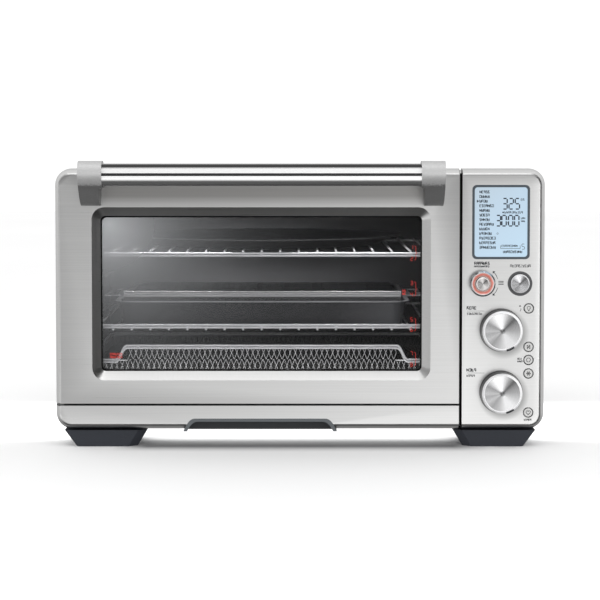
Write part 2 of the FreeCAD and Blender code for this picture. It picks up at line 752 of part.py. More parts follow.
def handle_screws():
    screws = []
    for x, z in handle_screw_places():
        head = rod((x, FRONT_Y + SKIN, z), Y, 2.4, 4)
        shank = rod((x, FRONT_Y - 9, z), Y, 9 + SKIN, HANDLE_SCREW_R)
        screws.append(head.fuse(shank))
    return Part.makeCompound(screws)


def hinge_leaves():
    """Forks fixed in the door; each holds a pin on both sides of the fixed arm."""
    pieces = []
    half = ARM_T / 2 + CHEEK_GAP
    y0, y1 = FRONT_Y + SKIN, FRONT_BACK_Y - INNER_PANEL_T
    for x in HINGE_X:
        block = box(x - half - CHEEK_T, x + half + CHEEK_T, y0, y1, DOOR_BOTTOM + SKIN, 76)
        block = block.cut(box(x - half, x + half, y0 - 1, y1 + 1, DOOR_BOTTOM, PIVOT_Z + 6))
        pieces.append(block.cut(rod((x - 9, PIVOT_Y, PIVOT_Z), X, 18, PIN_R)))
    return Part.makeCompound(pieces)


def hinge_pins():
    reach = ARM_T / 2 + CHEEK_GAP + CHEEK_T + 0.8
    return Part.makeCompound(
        [rod((x - reach, PIVOT_Y, PIVOT_Z), X, 2 * reach, PIN_R) for x in HINGE_X]
    )


# ---------------------------------------------------------------- crumb tray


def grip_face(inset, low, y):
    """The grip's outline: an arch, flat on top and open below."""
    x0, x1 = GRIP_X[0] + inset, GRIP_X[1] - inset
    top = GRIP_TOP - inset
    knee = (top + low) / 2

    def end_curve(x_low, x_high):
        run = x_high - x_low
        curve = Part.BezierCurve()
        poles = ((x_low, low), (x_low + run / 4, knee), (x_low + run / 2, top), (x_high, top))
        curve.setPoles([V(x, y, z) for x, z in poles])
        return curve.toShape()

    left, right = end_curve(x0, x0 + GRIP_CURVE), end_curve(x1, x1 - GRIP_CURVE)
    across = Part.LineSegment(V(x0 + GRIP_CURVE, y, top), V(x1 - GRIP_CURVE, y, top)).toShape()
    below = Part.LineSegment(V(x1, y, low), V(x0, y, low)).toShape()
    return Part.Face(Part.Wire([left, across, right, below]))


def grip_block(inset, low, y0, y1):
    return grip_face(inset, low, y0).extrude(V(0, y1 - y0, 0))


GRIP_LOW = FRONT_BOTTOM - GRIP_DIP
GRIP_BACK_Y = FRONT_BACK_Y - 1.0


def crumb_tray():
    """Sheet tray with upturned lips, and an upright flange that closes the back of its steel front."""
    x0, x1 = TRAY_X
    floor = box(x0, x1, FRONT_BACK_Y, TRAY_BACK_Y, TRAY_Z, TRAY_Z + 0.8)
    lips = [
        box(x0, x0 + 0.8, FRONT_BACK_Y, TRAY_BACK_Y, TRAY_Z, TRAY_LIP),
        box(x1 - 0.8, x1, FRONT_BACK_Y, TRAY_BACK_Y, TRAY_Z, TRAY_LIP),
        box(x0, x1, TRAY_BACK_Y - 0.8, TRAY_BACK_Y, TRAY_Z, TRAY_LIP),
    ]
    m = SKIN + 0.3
    flange = box(-HALF_W + 14, DOOR_RIGHT - m, GRIP_BACK_Y, FRONT_BACK_Y, FRONT_BOTTOM + m, STRIP_TOP - m)
    return floor.fuse(lips + [flange])


def crumb_tray_front():
    skin = front_skin(
        -2 * HALF_W, DOOR_RIGHT, 0, STRIP_TOP, open_right=False, open_top=False
    )
    return skin.cut(grip_block(0.0, GRIP_LOW, FRONT_Y - 1, FRONT_BACK_Y + 1))


def crumb_tray_grip():
    shell = grip_block(0.0, GRIP_LOW, FRONT_Y - 0.4, GRIP_BACK_Y)
    return shell.cut(grip_block(GRIP_T, GRIP_LOW - 1, FRONT_Y - 1, GRIP_BACK_Y - 3))


# ---------------------------------------------------------------- racks and pans


def swept(edges, start, direction, radius):
    """Round wire along smoothly joined edges that begin at start."""
    section = Part.Wire([Part.makeCircle(radius, start, direction)])
    return Part.Wire(edges).makePipeShell([section], True, False)


def rim_edges(x0, x1, y0, y1, z, r):
    """Left, back and right sides of a flat frame with round corners, from front left to front right."""
    k = r * (1 - math.sqrt(0.5))
    a, b = V(x0 + r, y0, z), V(x0, y0 + r, z)
    c, d = V(x0, y1 - r, z), V(x0 + r, y1, z)
    e, f = V(x1 - r, y1, z), V(x1, y1 - r, z)
    g, h = V(x1, y0 + r, z), V(x1 - r, y0, z)
    return [
        Part.Arc(a, V(x0 + k, y0 + k, z), b).toShape(),
        Part.LineSegment(b, c).toShape(),
        Part.Arc(c, V(x0 + k, y1 - k, z), d).toShape(),
        Part.LineSegment(d, e).toShape(),
        Part.Arc(e, V(x1 - k, y1 - k, z), f).toShape(),
        Part.LineSegment(f, g).toShape(),
        Part.Arc(g, V(x1 - k, y0 + k, z), h).toShape(),
    ]


def rail_links(xs, z_high):
    """Small welds that join the two rails at a rack's front."""
    return [
        box(x - 2, x + 2, RACK_Y0 - 0.7, RACK_Y0 + 0.7, z_high - RAIL_DROP, z_high) for x in xs
    ]


def rack(rail_z, wires_on_top):
    """Wire rack: a rectangular frame, a second front rail, and wires from front to back."""
    x0, x1 = CAV_L + RAIL_IN, CAV_R - RAIL_IN
    edges = rim_edges(x0, x1, RACK_Y0, RACK_Y1, rail_z, RIM_BEND)
    edges.append(
        Part.LineSegment(V(x1 - RIM_BEND, RACK_Y0, rail_z), V(x0 + RIM_BEND, RACK_Y0, rail_z)).toShape()
    )
    frame = swept(edges, V(x0 + RIM_BEND, RACK_Y0, rail_z), V(-1, 0, 0), RAIL_R)
    low_rail = rod((x0 + 9, RACK_Y0, rail_z - RAIL_DROP), X, x1 - x0 - 18, RAIL_R)
    first = CAV_MID - WIRE_PITCH * (WIRE_COUNT - 1) / 2
    places = [first + WIRE_PITCH * i for i in range(WIRE_COUNT)]
    rise = 2.1
    front_z = rail_z + rise if wires_on_top else rail_z - RAIL_DROP - rise
    back_z = rail_z + rise if wires_on_top else rail_z - rise
    wires = []
    for x in places:
        run = V(0, RACK_Y1 - RACK_Y0, back_z - front_z)
        wires.append(rod((x, RACK_Y0, front_z), run, run.Length, WIRE_R))
    return frame.fuse([low_rail] + rail_links(places[1::4], rail_z) + wires)


def upper_rack():
    return rack(UPPER_RAIL_Z, True)


def lower_rack():
    return rack(LOWER_RAIL_Z, False)


def raised_front(x0, x1, low_z, high_z):
    """Front wire from right to left: low at both ends, with an S-bend up to its raised middle."""
    y = RACK_Y0

    def bend(xa, za, xb, zb):
        curve = Part.BezierCurve()
        middle = (xa + xb) / 2
        curve.setPoles([V(xa, y, za), V(middle, y, za), V(middle, y, zb), V(xb, y, zb)])
        return curve.toShape()

    right, left = RAISED_X1 + BEND_W, RAISED_X0 - BEND_W
    return [
        Part.LineSegment(V(x1, y, low_z), V(right, y, low_z)).toShape(),
        bend(right, low_z, RAISED_X1, high_z),
        Part.LineSegment(V(RAISED_X1, y, high_z), V(RAISED_X0, y, high_z)).toShape(),
        bend(RAISED_X0, high_z, left, low_z),
        Part.LineSegment(V(left, y, low_z), V(x0, y, low_z)).toShape(),
    ]


def basket_frame():
    x0, x1 = CAV_L + RAIL_IN, CAV_R - RAIL_IN
    rim = BASKET_RIM_Z
    edges = rim_edges(x0, x1, RACK_Y0, RACK_Y1, rim, RIM_BEND)
    edges += raised_front(x0 + RIM_BEND, x1 - RIM_BEND, rim, BASKET_RAISED_Z)
    frame = swept(edges, V(x0 + RIM_BEND, RACK_Y0, rim), V(-1, 0, 0), RAIL_R)
    lower = raised_front(x0 + 9, x1 - 9, rim - RAIL_DROP, BASKET_RAISED_Z - RAIL_DROP)
    low_rail = swept(lower, V(x1 - 9, RACK_Y0, rim - RAIL_DROP), V(-1, 0, 0), RAIL_R)
    places = (RAISED_X0 + 12, CAV_MID, RAISED_X1 - 12)
    return frame.fuse([low_rail] + rail_links(places, BASKET_RAISED_Z))


def basket_mesh():
    """Woven mesh basket, as a thin tray with the mesh's outer shape."""
    t = 1.0
    y0, y1 = RACK_Y0 + 2.0, RACK_Y1 - 2.0
    tray = box(BASKET_X0, BASKET_X1, y0, y1, BASKET_FLOOR, BASKET_RIM_Z)
    front = box(RAISED_X0, RAISED_X1, y0, y0 + t, BASKET_RIM_Z - 1, BASKET_RAISED_Z - 1)
    hollow = box(BASKET_X0 + t, BASKET_X1 - t, y0 + t, y1 - t, BASKET_FLOOR + t, BASKET_RAISED_Z)
    return tray.cut(hollow).fuse(front)


def pizza_pan():
    t, z0, z1 = PAN_T, PIZZA_Z, PIZZA_TOP
    profile = (
        (0, z0), (PIZZA_R - 30, z0), (PIZZA_R - 8, z1 - t), (PIZZA_R, z1 - t), (PIZZA_R, z1),
        (PIZZA_R - 9, z1), (PIZZA_R - 31, z0 + t), (0, z0 + t),
    )
    return turned(profile, (CAV_MID + 1.5, PIZZA_Y, 0), Z)


def pan_ring(grow, z, r):
    """Rounded rectangle lying flat, at the height z."""
    x0, x1 = PAN_X[0] - grow, PAN_X[1] + grow
    y0, y1 = PAN_Y[0] - grow, PAN_Y[1] + grow
    upright = rounded_wire(x0, x1, y0, y1, r, 0)
    return upright.transformed(FreeCAD.Matrix(1, 0, 0, 0, 0, 0, 1, 0, 0, 1, 0, z, 0, 0, 0, 1))


def pan_wing(side):
    """Flat wing on one end of the pan's rim, with a slot to carry it by."""
    edge = PAN_X[0] if side < 0 else PAN_X[1]
    mid_y = sum(PAN_Y) / 2

    def strip(start, end, half, z0, z1):
        near, far = sorted((edge + side * start, edge + side * end))
        return box(near, far, mid_y - half, mid_y + half, z0, z1)

    plate = strip(-2, WING_OUT, WING_HALF, PAN_TOP - PAN_T, PAN_TOP)
    slot = strip(WING_EDGE, WING_OUT - WING_EDGE, WING_HALF - WING_EDGE, PAN_TOP - 2 * PAN_T, PAN_TOP + 1)
    return plate.cut(slot)


def roasting_pan():
    outer = Part.makeLoft([pan_ring(-9, PAN_Z, 12), pan_ring(-4, PAN_TOP, 20)], True, True)
    inner = Part.makeLoft(
        [pan_ring(-9 - PAN_T, PAN_Z + PAN_T, 11), pan_ring(-4 - PAN_T, PAN_TOP + 0.1, 19)], True, True
    )
    lip = Part.Face(pan_ring(0, PAN_TOP - PAN_T, 24)).extrude(V(0, 0, PAN_T))
    return outer.fuse([lip, pan_wing(-1), pan_wing(1)]).cut(inner)


def broil_rack():
    """Slotted plate that lies on the roasting pan's rim, with a raised and ribbed front."""
    (x0, x1), (y0, y1), t = BROIL_X, BROIL_Y, PAN_T
    plate = box(x0, x1, y0, y1, BROIL_Z, BROIL_Z + t)
    front = box(x0, x1, y0, y0 + t, BROIL_Z, BROIL_LIP)
    slots = [
        box(x0 + 24 + 34 * i, x0 + 46 + 34 * i, y, y + 4, BROIL_Z - 1, BROIL_Z + t + 1)
        for i in range(8)
        for y in range(-104, 150, 16)
    ]
    ribs = [rod((x0, y0, BROIL_LIP - RIB_R * (1 + 2 * i)), X, x1 - x0, RIB_R) for i in range(3)]
    return plate.fuse(front).cut(slots).fuse(ribs)


# ---------------------------------------------------------------- export

PIECES = (
    base_plate, outer_wrap, rear_cover, rear_spacers, cord_gland, casing_screws, front_frame, feet,
    hinge_brackets, cavity_left, cavity_right, cavity_top, cavity_back, rack_guides, upper_elements,
    lower_elements, element_holders, fan_cover, convection_fan, convection_motor, lamp_bulb, lamp_lens,
    cooling_fan_housing, cooling_fan, control_panel, panel_subframe, lcd_bezel, lcd_window, encoders,
    control_board, power_board, temp_knob, time_knob, select_dial, select_button, start_button,
    door_outer_panel, door_glass, door_inner_panel, handle_bar, handle_brackets, handle_screws,
    hinge_leaves, hinge_pins, crumb_tray, crumb_tray_front, crumb_tray_grip, upper_rack, lower_rack,
    basket_frame, basket_mesh, pizza_pan, roasting_pan, broil_rack,
)


def write(name, shape):
    if not shape.isValid():
        print("not valid:", name)
    shape.exportStep(os.path.join("parts", name + ".step"))


os.makedirs("parts", exist_ok=True)
for piece in PIECES:
    write(piece.__name__, piece())
for icon_name, icon_z in ICON_Z.items():
    write(icon_name, icon_button(icon_z))
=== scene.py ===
"""Looks of the countertop toaster oven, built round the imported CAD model. Everything is in metres."""

import bmesh
import bpy
import json
import math
import random
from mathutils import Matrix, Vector


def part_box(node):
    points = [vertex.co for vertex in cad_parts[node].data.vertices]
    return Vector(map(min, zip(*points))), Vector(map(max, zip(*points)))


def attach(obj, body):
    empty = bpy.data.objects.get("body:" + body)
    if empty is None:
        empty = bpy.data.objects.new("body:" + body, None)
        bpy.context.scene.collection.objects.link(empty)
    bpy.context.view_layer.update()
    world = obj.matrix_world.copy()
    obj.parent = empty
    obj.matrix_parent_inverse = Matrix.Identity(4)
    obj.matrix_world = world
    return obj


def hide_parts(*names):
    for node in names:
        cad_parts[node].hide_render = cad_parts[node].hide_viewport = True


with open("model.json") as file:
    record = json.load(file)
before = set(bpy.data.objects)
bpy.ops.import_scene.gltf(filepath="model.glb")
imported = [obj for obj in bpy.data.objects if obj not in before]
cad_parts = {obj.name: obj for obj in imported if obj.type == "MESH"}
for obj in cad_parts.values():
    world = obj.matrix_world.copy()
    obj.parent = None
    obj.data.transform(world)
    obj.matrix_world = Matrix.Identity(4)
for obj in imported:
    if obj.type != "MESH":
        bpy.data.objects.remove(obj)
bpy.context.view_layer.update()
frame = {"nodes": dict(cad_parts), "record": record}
NODES = frame["nodes"]
MM = 0.001

# Places read from the CAD model
FACE_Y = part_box("control_panel")[0].y  # outer face of the door and the panel
GLASS_LO, GLASS_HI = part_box("door_glass")
LCD_LO, LCD_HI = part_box("lcd_window")
BAR_LO, BAR_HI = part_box("handle_bar")
GAP_Z = (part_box("door_outer_panel")[0].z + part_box("crumb_tray_front")[1].z) / 2
GAP_X = (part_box("door_outer_panel")[1].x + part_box("control_panel")[0].x) / 2
BASKET_LO, BASKET_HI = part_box("basket_mesh")

# Printing: how far it stands off its surface, how deep it is and how wide its strokes are
PRINT = 0.06 * MM
PRINT_DEEP = 2 * PRINT
HEAVY, MEDIUM, LIGHT = 0.75 * MM, 0.5 * MM, 0.46 * MM


def centre_of(node):
    lo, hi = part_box(node)
    return (lo + hi) / 2


def grey(level):
    return (level, level, level)


def scaled(tone, share):
    return tuple(share * level for level in tone)


# ---------------------------------------------------------------- materials


def add_node(tree, kind, inputs=None, **settings):
    """A shader node with its settings, each input either linked or given a constant."""
    made = tree.nodes.new(kind)
    for key, value in settings.items():
        setattr(made, key, value)
    for key, value in (inputs or {}).items():
        if isinstance(value, bpy.types.NodeSocket):
            tree.links.new(value, made.inputs[key])
        else:
            made.inputs[key].default_value = value
    return made


class Paint:
    """A node material on the Principled shader, with short calls for the nodes used here."""

    def __init__(self, name, metallic=0.0, roughness=0.5, **sockets):
        self.material = bpy.data.materials.new(name)
        self.material.use_nodes = True
        self.tree = self.material.node_tree
        self.shader = self.tree.nodes["Principled BSDF"]
        self.shader.inputs["Metallic"].default_value = metallic
        self.shader.inputs["Roughness"].default_value = roughness
        for socket, value in sockets.items():
            self.shader.inputs[socket.replace("_", " ")].default_value = value
        self.place = self.add("ShaderNodeTexCoord").outputs["Object"]

    def add(self, kind, inputs=None, **settings):
        return add_node(self.tree, kind, inputs, **settings)

    def link(self, source, socket):
        self.tree.links.new(source, self.shader.inputs[socket])

    def vector(self, operation, a, b):
        return self.add("ShaderNodeVectorMath", {0: a, 1: b}, operation=operation).outputs[0]

    def length(self, vector):
        return self.add("ShaderNodeVectorMath", {0: vector}, operation="LENGTH").outputs[1]

    def noise(self, stretch, scale, detail=4.0, distortion=0.0):
        """Noise whose grain is drawn out by scaling the object's coordinates along each axis."""
        place = self.vector("MULTIPLY", self.place, stretch)
        settings = {"Vector": place, "Scale": scale, "Detail": detail, "Distortion": distortion}
        return self.add("ShaderNodeTexNoise", settings).outputs["Fac"]

    def ramp(self, fac, stops):
        node = self.add("ShaderNodeValToRGB", {"Fac": fac})
        band = node.color_ramp
        while len(band.elements) < len(stops):
            band.elements.new(0.5)
        for element, (position, colour) in zip(band.elements, stops):
            element.position = position
            element.color = (*colour, 1.0)
        return node.outputs["Color"]

    def shades(self, fac, low, high, start=0.3, end=0.7):
        return self.ramp(fac, [(start, low), (end, high)])

    def span(self, fac, low, high, start=0.3, end=0.7):
        node = self.add(
            "ShaderNodeMapRange",
            {"Value": fac, "From Min": start, "From Max": end, "To Min": low, "To Max": high},
        )
        return node.outputs["Result"]

    def math(self, operation, a, b=0.0):
        return self.add("ShaderNodeMath", {0: a, 1: b}, operation=operation).outputs[0]

    def mix(self, fac, a, b):
        node = self.add("ShaderNodeMix", data_type="RGBA")
        for index, value in ((0, fac), (6, a), (7, b)):
            if isinstance(value, bpy.types.NodeSocket):
                self.tree.links.new(value, node.inputs[index])
            else:
                node.inputs[index].default_value = value if index == 0 else (*value, 1.0)
        return node.outputs[2]

    def bump(self, height, strength, distance_mm):
        settings = {"Height": height, "Strength": strength, "Distance": distance_mm * MM}
        self.link(self.add("ShaderNodeBump", settings).outputs["Normal"], "Normal")

    def axis(self, index):
        return self.add("ShaderNodeSeparateXYZ", {0: self.place}).outputs[index]

    def looks_along(self, index):
        """How far the surface faces along one of the object's own axes, from -1 to 1."""
        normal = self.add("ShaderNodeTexCoord").outputs["Normal"]
        return self.add("ShaderNodeSeparateXYZ", {0: normal}).outputs[index]


def grained(name, dark, light, stretch, scale, metallic, rough, bump_mm, **sockets):
    """A surface whose colour, roughness and relief all follow one stretched noise."""
    paint = Paint(name, metallic, rough[0], **sockets)
    fine = paint.noise(stretch, scale, 5.0)
    paint.link(paint.shades(fine, dark, light, 0.32, 0.68), "Base Color")
    paint.link(paint.span(fine, rough[0], rough[1]), "Roughness")
    paint.bump(fine, 0.5, bump_mm)
    return paint.material


def near(paint, value, middle, reach, fade):
    """1 within reach of the middle, falling to 0 over the fade."""
    away = paint.math("ABSOLUTE", paint.math("SUBTRACT", value, middle))
    return paint.span(away, 1.0, 0.0, reach, reach + fade)


def brushed_front():
    """Horizontally brushed stainless steel: fine scratches, broader streaks and a slow change of tone, with
    painted shadows under the handle bar and beside the knobs, and painted near-black shade in the gaps.
    """
    paint = Paint("brushed_steel", 1.0, 0.30, Anisotropic=0.35)
    hair = paint.noise((6, 300, 1300), 1.0, 3.0)
    streak = paint.noise((2.2, 60, 210), 1.0, 4.0)
    cloud = paint.noise((3, 3, 3), 1.0, 2.0)
    tone = paint.math("ADD", paint.math("MULTIPLY", hair, 0.6), paint.math("MULTIPLY", streak, 0.1))
    tone = paint.math("ADD", tone, paint.math("MULTIPLY", cloud, 0.3))
    steel = paint.shades(tone, (0.68, 0.68, 0.675), (0.74, 0.74, 0.735), 0.34, 0.66)
    across, inward, height = (paint.axis(i) for i in range(3))
    outside = paint.math("LESS_THAN", inward, FACE_Y + SKIN)
    inside = paint.math("GREATER_THAN", inward, FACE_Y + SKIN)

    bar_middle, bar_half = (BAR_LO.x + BAR_HI.x) / 2, (BAR_HI.x - BAR_LO.x) / 2
    # Painted shadow: the steel's colour is darkened in a band under the handle bar
    painted_bar_shadow = paint.math(
        "MULTIPLY", near(paint, height, BAR_LO.z - 8 * MM, 4 * MM, 13 * MM),
        near(paint, across, bar_middle, bar_half, 14 * MM),
    )
    shaded = paint.mix(paint.math("MULTIPLY", painted_bar_shadow, 0.62), steel, (0.16, 0.15, 0.14))
    # Painted shadows: the steel's colour is darkened in a soft disc beside each knob
    for knob in ("temp_knob", "time_knob"):
        middle = centre_of(knob)
        from_x = paint.math("SUBTRACT", across, middle.x + 3 * MM)
        from_z = paint.math("SUBTRACT", height, middle.z - 4 * MM)
        squares = paint.math("ADD", paint.math("POWER", from_x, 2.0), paint.math("POWER", from_z, 2.0))
        shadow = paint.span(paint.math("SQRT", squares), 0.60, 0.0, 22 * MM, 29 * MM)
        shaded = paint.mix(paint.math("MULTIPLY", shadow, outside), shaded, grey(0.20))

    # Painted shade: the inner sides of the gaps beside and below the door are painted near-black
    left_side = paint.math("LESS_THAN", across, GAP_X)
    level_gap = paint.math("MULTIPLY", near(paint, height, GAP_Z, 1.3 * MM, 0.5 * MM), left_side)
    gaps = paint.math("MAXIMUM", level_gap, near(paint, across, GAP_X, 1.7 * MM, 0.4 * MM))
    paint.link(paint.mix(paint.math("MULTIPLY", gaps, inside), shaded, grey(0.012)), "Base Color")
    paint.link(paint.span(tone, 0.27, 0.32), "Roughness")
    paint.bump(hair, 0.08, 0.02)
    paint.link(paint.add("ShaderNodeTangent", direction_type="RADIAL", axis="Z").outputs[0], "Tangent")
    return paint.material


# Depth of the outer skin, on which the knobs' painted shadows lie, as against the gaps' inner sides, which
# are painted near-black as shade
SKIN = 0.4 * MM


def brushed_casing():
    """Sheet brushed from front to back, with faint handling marks."""
    paint = Paint("casing_steel", 1.0, 0.38)
    hair = paint.noise((900, 5, 900), 1.0, 3.0)
    smear = paint.noise((7, 4, 7), 1.0, 5.0, 0.6)
    tone = paint.math("ADD", paint.math("MULTIPLY", hair, 0.6), paint.math("MULTIPLY", smear, 0.4))
    paint.link(paint.shades(tone, (0.50, 0.50, 0.495), (0.63, 0.63, 0.62), 0.35, 0.65), "Base Color")
    paint.link(paint.span(smear, 0.32, 0.46), "Roughness")
    paint.bump(hair, 0.25, 0.02)
    return paint.material


def spun(name, centre, tone, face_radius, painted_shade_from):
    """Metal turned on a lathe: circular grain round the Y axis, with a painted fan-shaped sheen on the spun
    face and painted dark shade on its side and near the panel.
    """
    paint = Paint(name, 1.0, 0.26, Anisotropic=0.8)
    arm = paint.vector("SUBTRACT", paint.place, centre)
    around = paint.vector("CROSS_PRODUCT", arm, (0.0, 1.0, 0.0))
    paint.link(around, "Tangent")
    radius = paint.length(around)
    rings = paint.add(
        "ShaderNodeTexNoise", {"W": paint.math("MULTIPLY", radius, 5200.0), "Scale": 1.0, "Detail": 3.0},
        noise_dimensions="1D",
    ).outputs["Fac"]
    parts = paint.add("ShaderNodeSeparateXYZ", {0: arm}).outputs
    # Painted sheen: light and dark sectors by the angle round the face
    turn = paint.span(paint.math("ARCTAN2", parts[2], parts[0]), 0.0, 1.0, -math.pi, math.pi)
    fan = paint.ramp(turn, [(degrees / 360 + 0.5, grey(level)) for degrees, level in PAINTED_SHEEN])
    colour = paint.add("ShaderNodeMix", {0: 1.0}, data_type="RGBA", blend_type="MULTIPLY")
    for source, index in ((paint.shades(rings, scaled(tone, 0.90), tone), 6), (fan, 7)):
        paint.tree.links.new(source, colour.inputs[index])
    on_face = paint.math("LESS_THAN", radius, face_radius)
    shade = paint.mix(on_face, tone, colour.outputs[2])
    # Painted shade: the steep side and the part near the panel are painted near-black
    low = paint.math("GREATER_THAN", paint.axis(1), painted_shade_from)
    steep_side_shade = paint.math("GREATER_THAN", paint.looks_along(1), -0.35)
    paint.link(paint.mix(paint.math("MAXIMUM", low, steep_side_shade), shade, (0.050, 0.050, 0.052)), "Base Color")
    paint.link(paint.math("MAXIMUM", on_face, 0.35), "Metallic")
    paint.link(paint.span(rings, 0.20, 0.30), "Roughness")
    return paint.material


# Painted sheen of a spun face, as a tone by the angle in degrees, from -180 (left) through 0 (right) to 180
PAINTED_SHEEN = (
    (-180, 0.55), (-168, 0.42), (-150, 0.58), (-128, 0.42), (-108, 0.60), (-75, 0.95), (-48, 1.0),
    (-22, 0.74), (5, 0.46), (28, 0.32), (47, 0.13), (66, 0.42), (88, 0.90), (115, 1.0), (135, 0.70),
    (152, 0.34), (180, 0.55),
)


def bar_look():
    """Polished tube with a studio's bands painted on as a reflection: bright front, dark shoulders, groove
    and underside, with painted shade in the groove.
    """
    paint = Paint("handle_chrome", 0.25, 0.16)
    # Painted reflection: the tone follows how far the surface looks up
    upward = paint.span(paint.looks_along(2), 0.0, 1.0, -1.0, 1.0)
    painted_bands = paint.ramp(upward, [(share, grey(level)) for share, level in PAINTED_BAR_BANDS])
    groove_z = BAR_LO.z + 12.5 * MM
    # Painted shade: the groove is painted near-black
    groove_shade = near(paint, paint.axis(2), groove_z, 1.2 * MM, 0.3 * MM)
    fine = paint.noise((4, 900, 900), 1.0, 3.0)
    paint.link(paint.mix(groove_shade, painted_bands, (0.035, 0.035, 0.037)), "Base Color")
    paint.link(paint.span(fine, 0.12, 0.20), "Roughness")
    return paint.material


# Painted reflection on the handle bar, as a tone by how far its surface looks up, from 0 (down) over 0.5
# (front) to 1 (up)
PAINTED_BAR_BANDS = (
    (0.0, 0.03), (0.08, 0.10), (0.28, 0.14), (0.34, 0.55), (0.42, 0.98), (0.66, 0.98), (0.74, 0.45),
    (0.78, 0.01), (0.93, 0.02), (0.98, 0.30),
)


def bracket_look():
    """Satin casting, with painted light on its cap and painted shade down its arm."""
    paint = Paint("satin_metal", 0.45, 0.5)
    # Painted light and shade: lighter towards the cap, darker down the arm
    height = paint.span(paint.axis(2), 0.0, 1.0, BAR_LO.z - 22 * MM, BAR_LO.z + 27 * MM)
    blast = paint.noise((500, 500, 500), 1.0, 3.0)
    shade = paint.math("ADD", height, paint.span(blast, -0.03, 0.03))
    stops = ((0.0, 0.20), (0.44, 0.15), (0.50, 0.40), (0.80, 0.66), (1.0, 0.50))
    paint.link(paint.ramp(shade, [(share, grey(level)) for share, level in stops]), "Base Color")
    paint.link(paint.span(blast, 0.42, 0.52), "Roughness")
    return paint.material


def door_glass_look():
    """Tinted tempered glass: mostly clear, with a mirror-like skin and a painted soft reflection at its
    upper left.
    """
    paint = Paint("door_glass", 0.0, 0.03, IOR=1.5, Specular_IOR_Level=0.7)
    smudge = paint.noise((9, 9, 9), 1.0, 5.0, 0.8)
    paint.link(paint.span(smudge, 0.02, 0.06), "Roughness")
    # Painted reflection: a pale glare that fades away from the upper left corner
    hot = (GLASS_LO.x + PAINTED_GLARE_IN, GLASS_LO.y, GLASS_HI.z - PAINTED_GLARE_IN)
    far = paint.length(paint.vector("SUBTRACT", paint.place, hot))
    painted_glare = paint.math("EXPONENT", paint.math("MULTIPLY", far, -1.0 / PAINTED_GLARE_FADE))
    painted_glare = paint.math("MULTIPLY", painted_glare, paint.span(smudge, 0.57, 0.63))
    clear = paint.add("ShaderNodeBsdfTransparent", {"Color": (0.825, 0.825, 0.83, 1.0)})
    facing = paint.add("ShaderNodeFresnel", {"IOR": 1.5}).outputs[0]
    cover = paint.math("ADD", paint.span(facing, 0.09, 1.0, 0.02, 1.0), painted_glare)
    share = paint.math("DIVIDE", painted_glare, cover)
    dark = paint.shades(smudge, (0.003, 0.0035, 0.004), (0.008, 0.009, 0.010))
    paint.link(paint.mix(share, dark, (0.75, 0.765, 0.785)), "Base Color")
    mixer = paint.add("ShaderNodeMixShader", {0: cover, 1: clear.outputs[0], 2: paint.shader.outputs[0]})
    paint.tree.links.new(mixer.outputs[0], paint.tree.nodes["Material Output"].inputs["Surface"])
    return paint.material


# The painted reflection on the glass: where its middle is, in from the glass's corner, and how fast it fades
PAINTED_GLARE_IN = 20 * MM
PAINTED_GLARE_FADE = 56 * MM


def lcd_look():
    """Backlit display: pale blue, with a painted sheen that makes it paler towards its lower right corner.
    """
    paint = Paint("lcd_window", 0.0, 0.2, Base_Color=(0.05, 0.06, 0.07, 1), Emission_Strength=1.0)
    # Painted sheen: the glow grows paler to the right and downwards
    across = paint.span(paint.axis(0), 0.0, 0.4, LCD_LO.x, LCD_HI.x)
    down = paint.span(paint.axis(2), 0.6, 0.0, LCD_LO.z, LCD_HI.z)
    cloud = paint.math("MULTIPLY", paint.noise((60, 60, 60), 1.0, 2.0), 0.1)
    fac = paint.math("ADD", paint.math("ADD", across, down), cloud)
    colour = paint.ramp(
        fac, [(0.05, (0.46, 0.56, 0.64)), (0.5, (0.47, 0.61, 0.74)), (1.0, (0.49, 0.66, 0.80))]
    )
    paint.link(colour, "Emission Color")
    return paint.material


def glow_look():
    """Red light that fills the dial's ring, paler at its inner and outer edges."""
    paint = Paint("dial_glow", 0.2, 0.3, Emission_Strength=0.16)
    middle = centre_of("select_dial")
    arm = paint.vector("SUBTRACT", paint.place, middle)
    radius = paint.length(paint.vector("MULTIPLY", arm, (1.0, 0.0, 1.0)))
    cloud = paint.span(paint.noise((150, 150, 150), 1.0, 2.0), -0.12, 0.12)
    ring = paint.math("ADD", paint.span(radius, 0.0, 1.0, 7.9 * MM, 12.1 * MM), cloud)
    colour = paint.ramp(ring, [
        (0.0, (0.80, 0.70, 0.66)), (0.22, (0.78, 0.46, 0.40)), (0.5, (0.66, 0.17, 0.13)),
        (0.78, (0.70, 0.30, 0.26)), (1.0, (0.78, 0.66, 0.64)),
    ])
    paint.link(colour, "Base Color")
    paint.link(colour, "Emission Color")
    return paint.material


def speckled(name, base, fleck, rough, metallic=0.0):
    """Dark non-stick coating or enamel: faint fine flecks over a slow cloud."""
    paint = Paint(name, metallic, rough)
    flecks = paint.noise((1, 1, 1), 700.0, 2.0)
    cloud = paint.noise((1, 1, 1), 9.0, 4.0, 0.5)
    shade = paint.shades(cloud, base, scaled(base, 1.35))
    paint.link(paint.mix(paint.span(flecks, 0.0, 0.03, 0.60, 0.72), shade, fleck), "Base Color")
    paint.link(paint.span(cloud, rough * 0.85, rough * 1.2), "Roughness")
    return paint.material


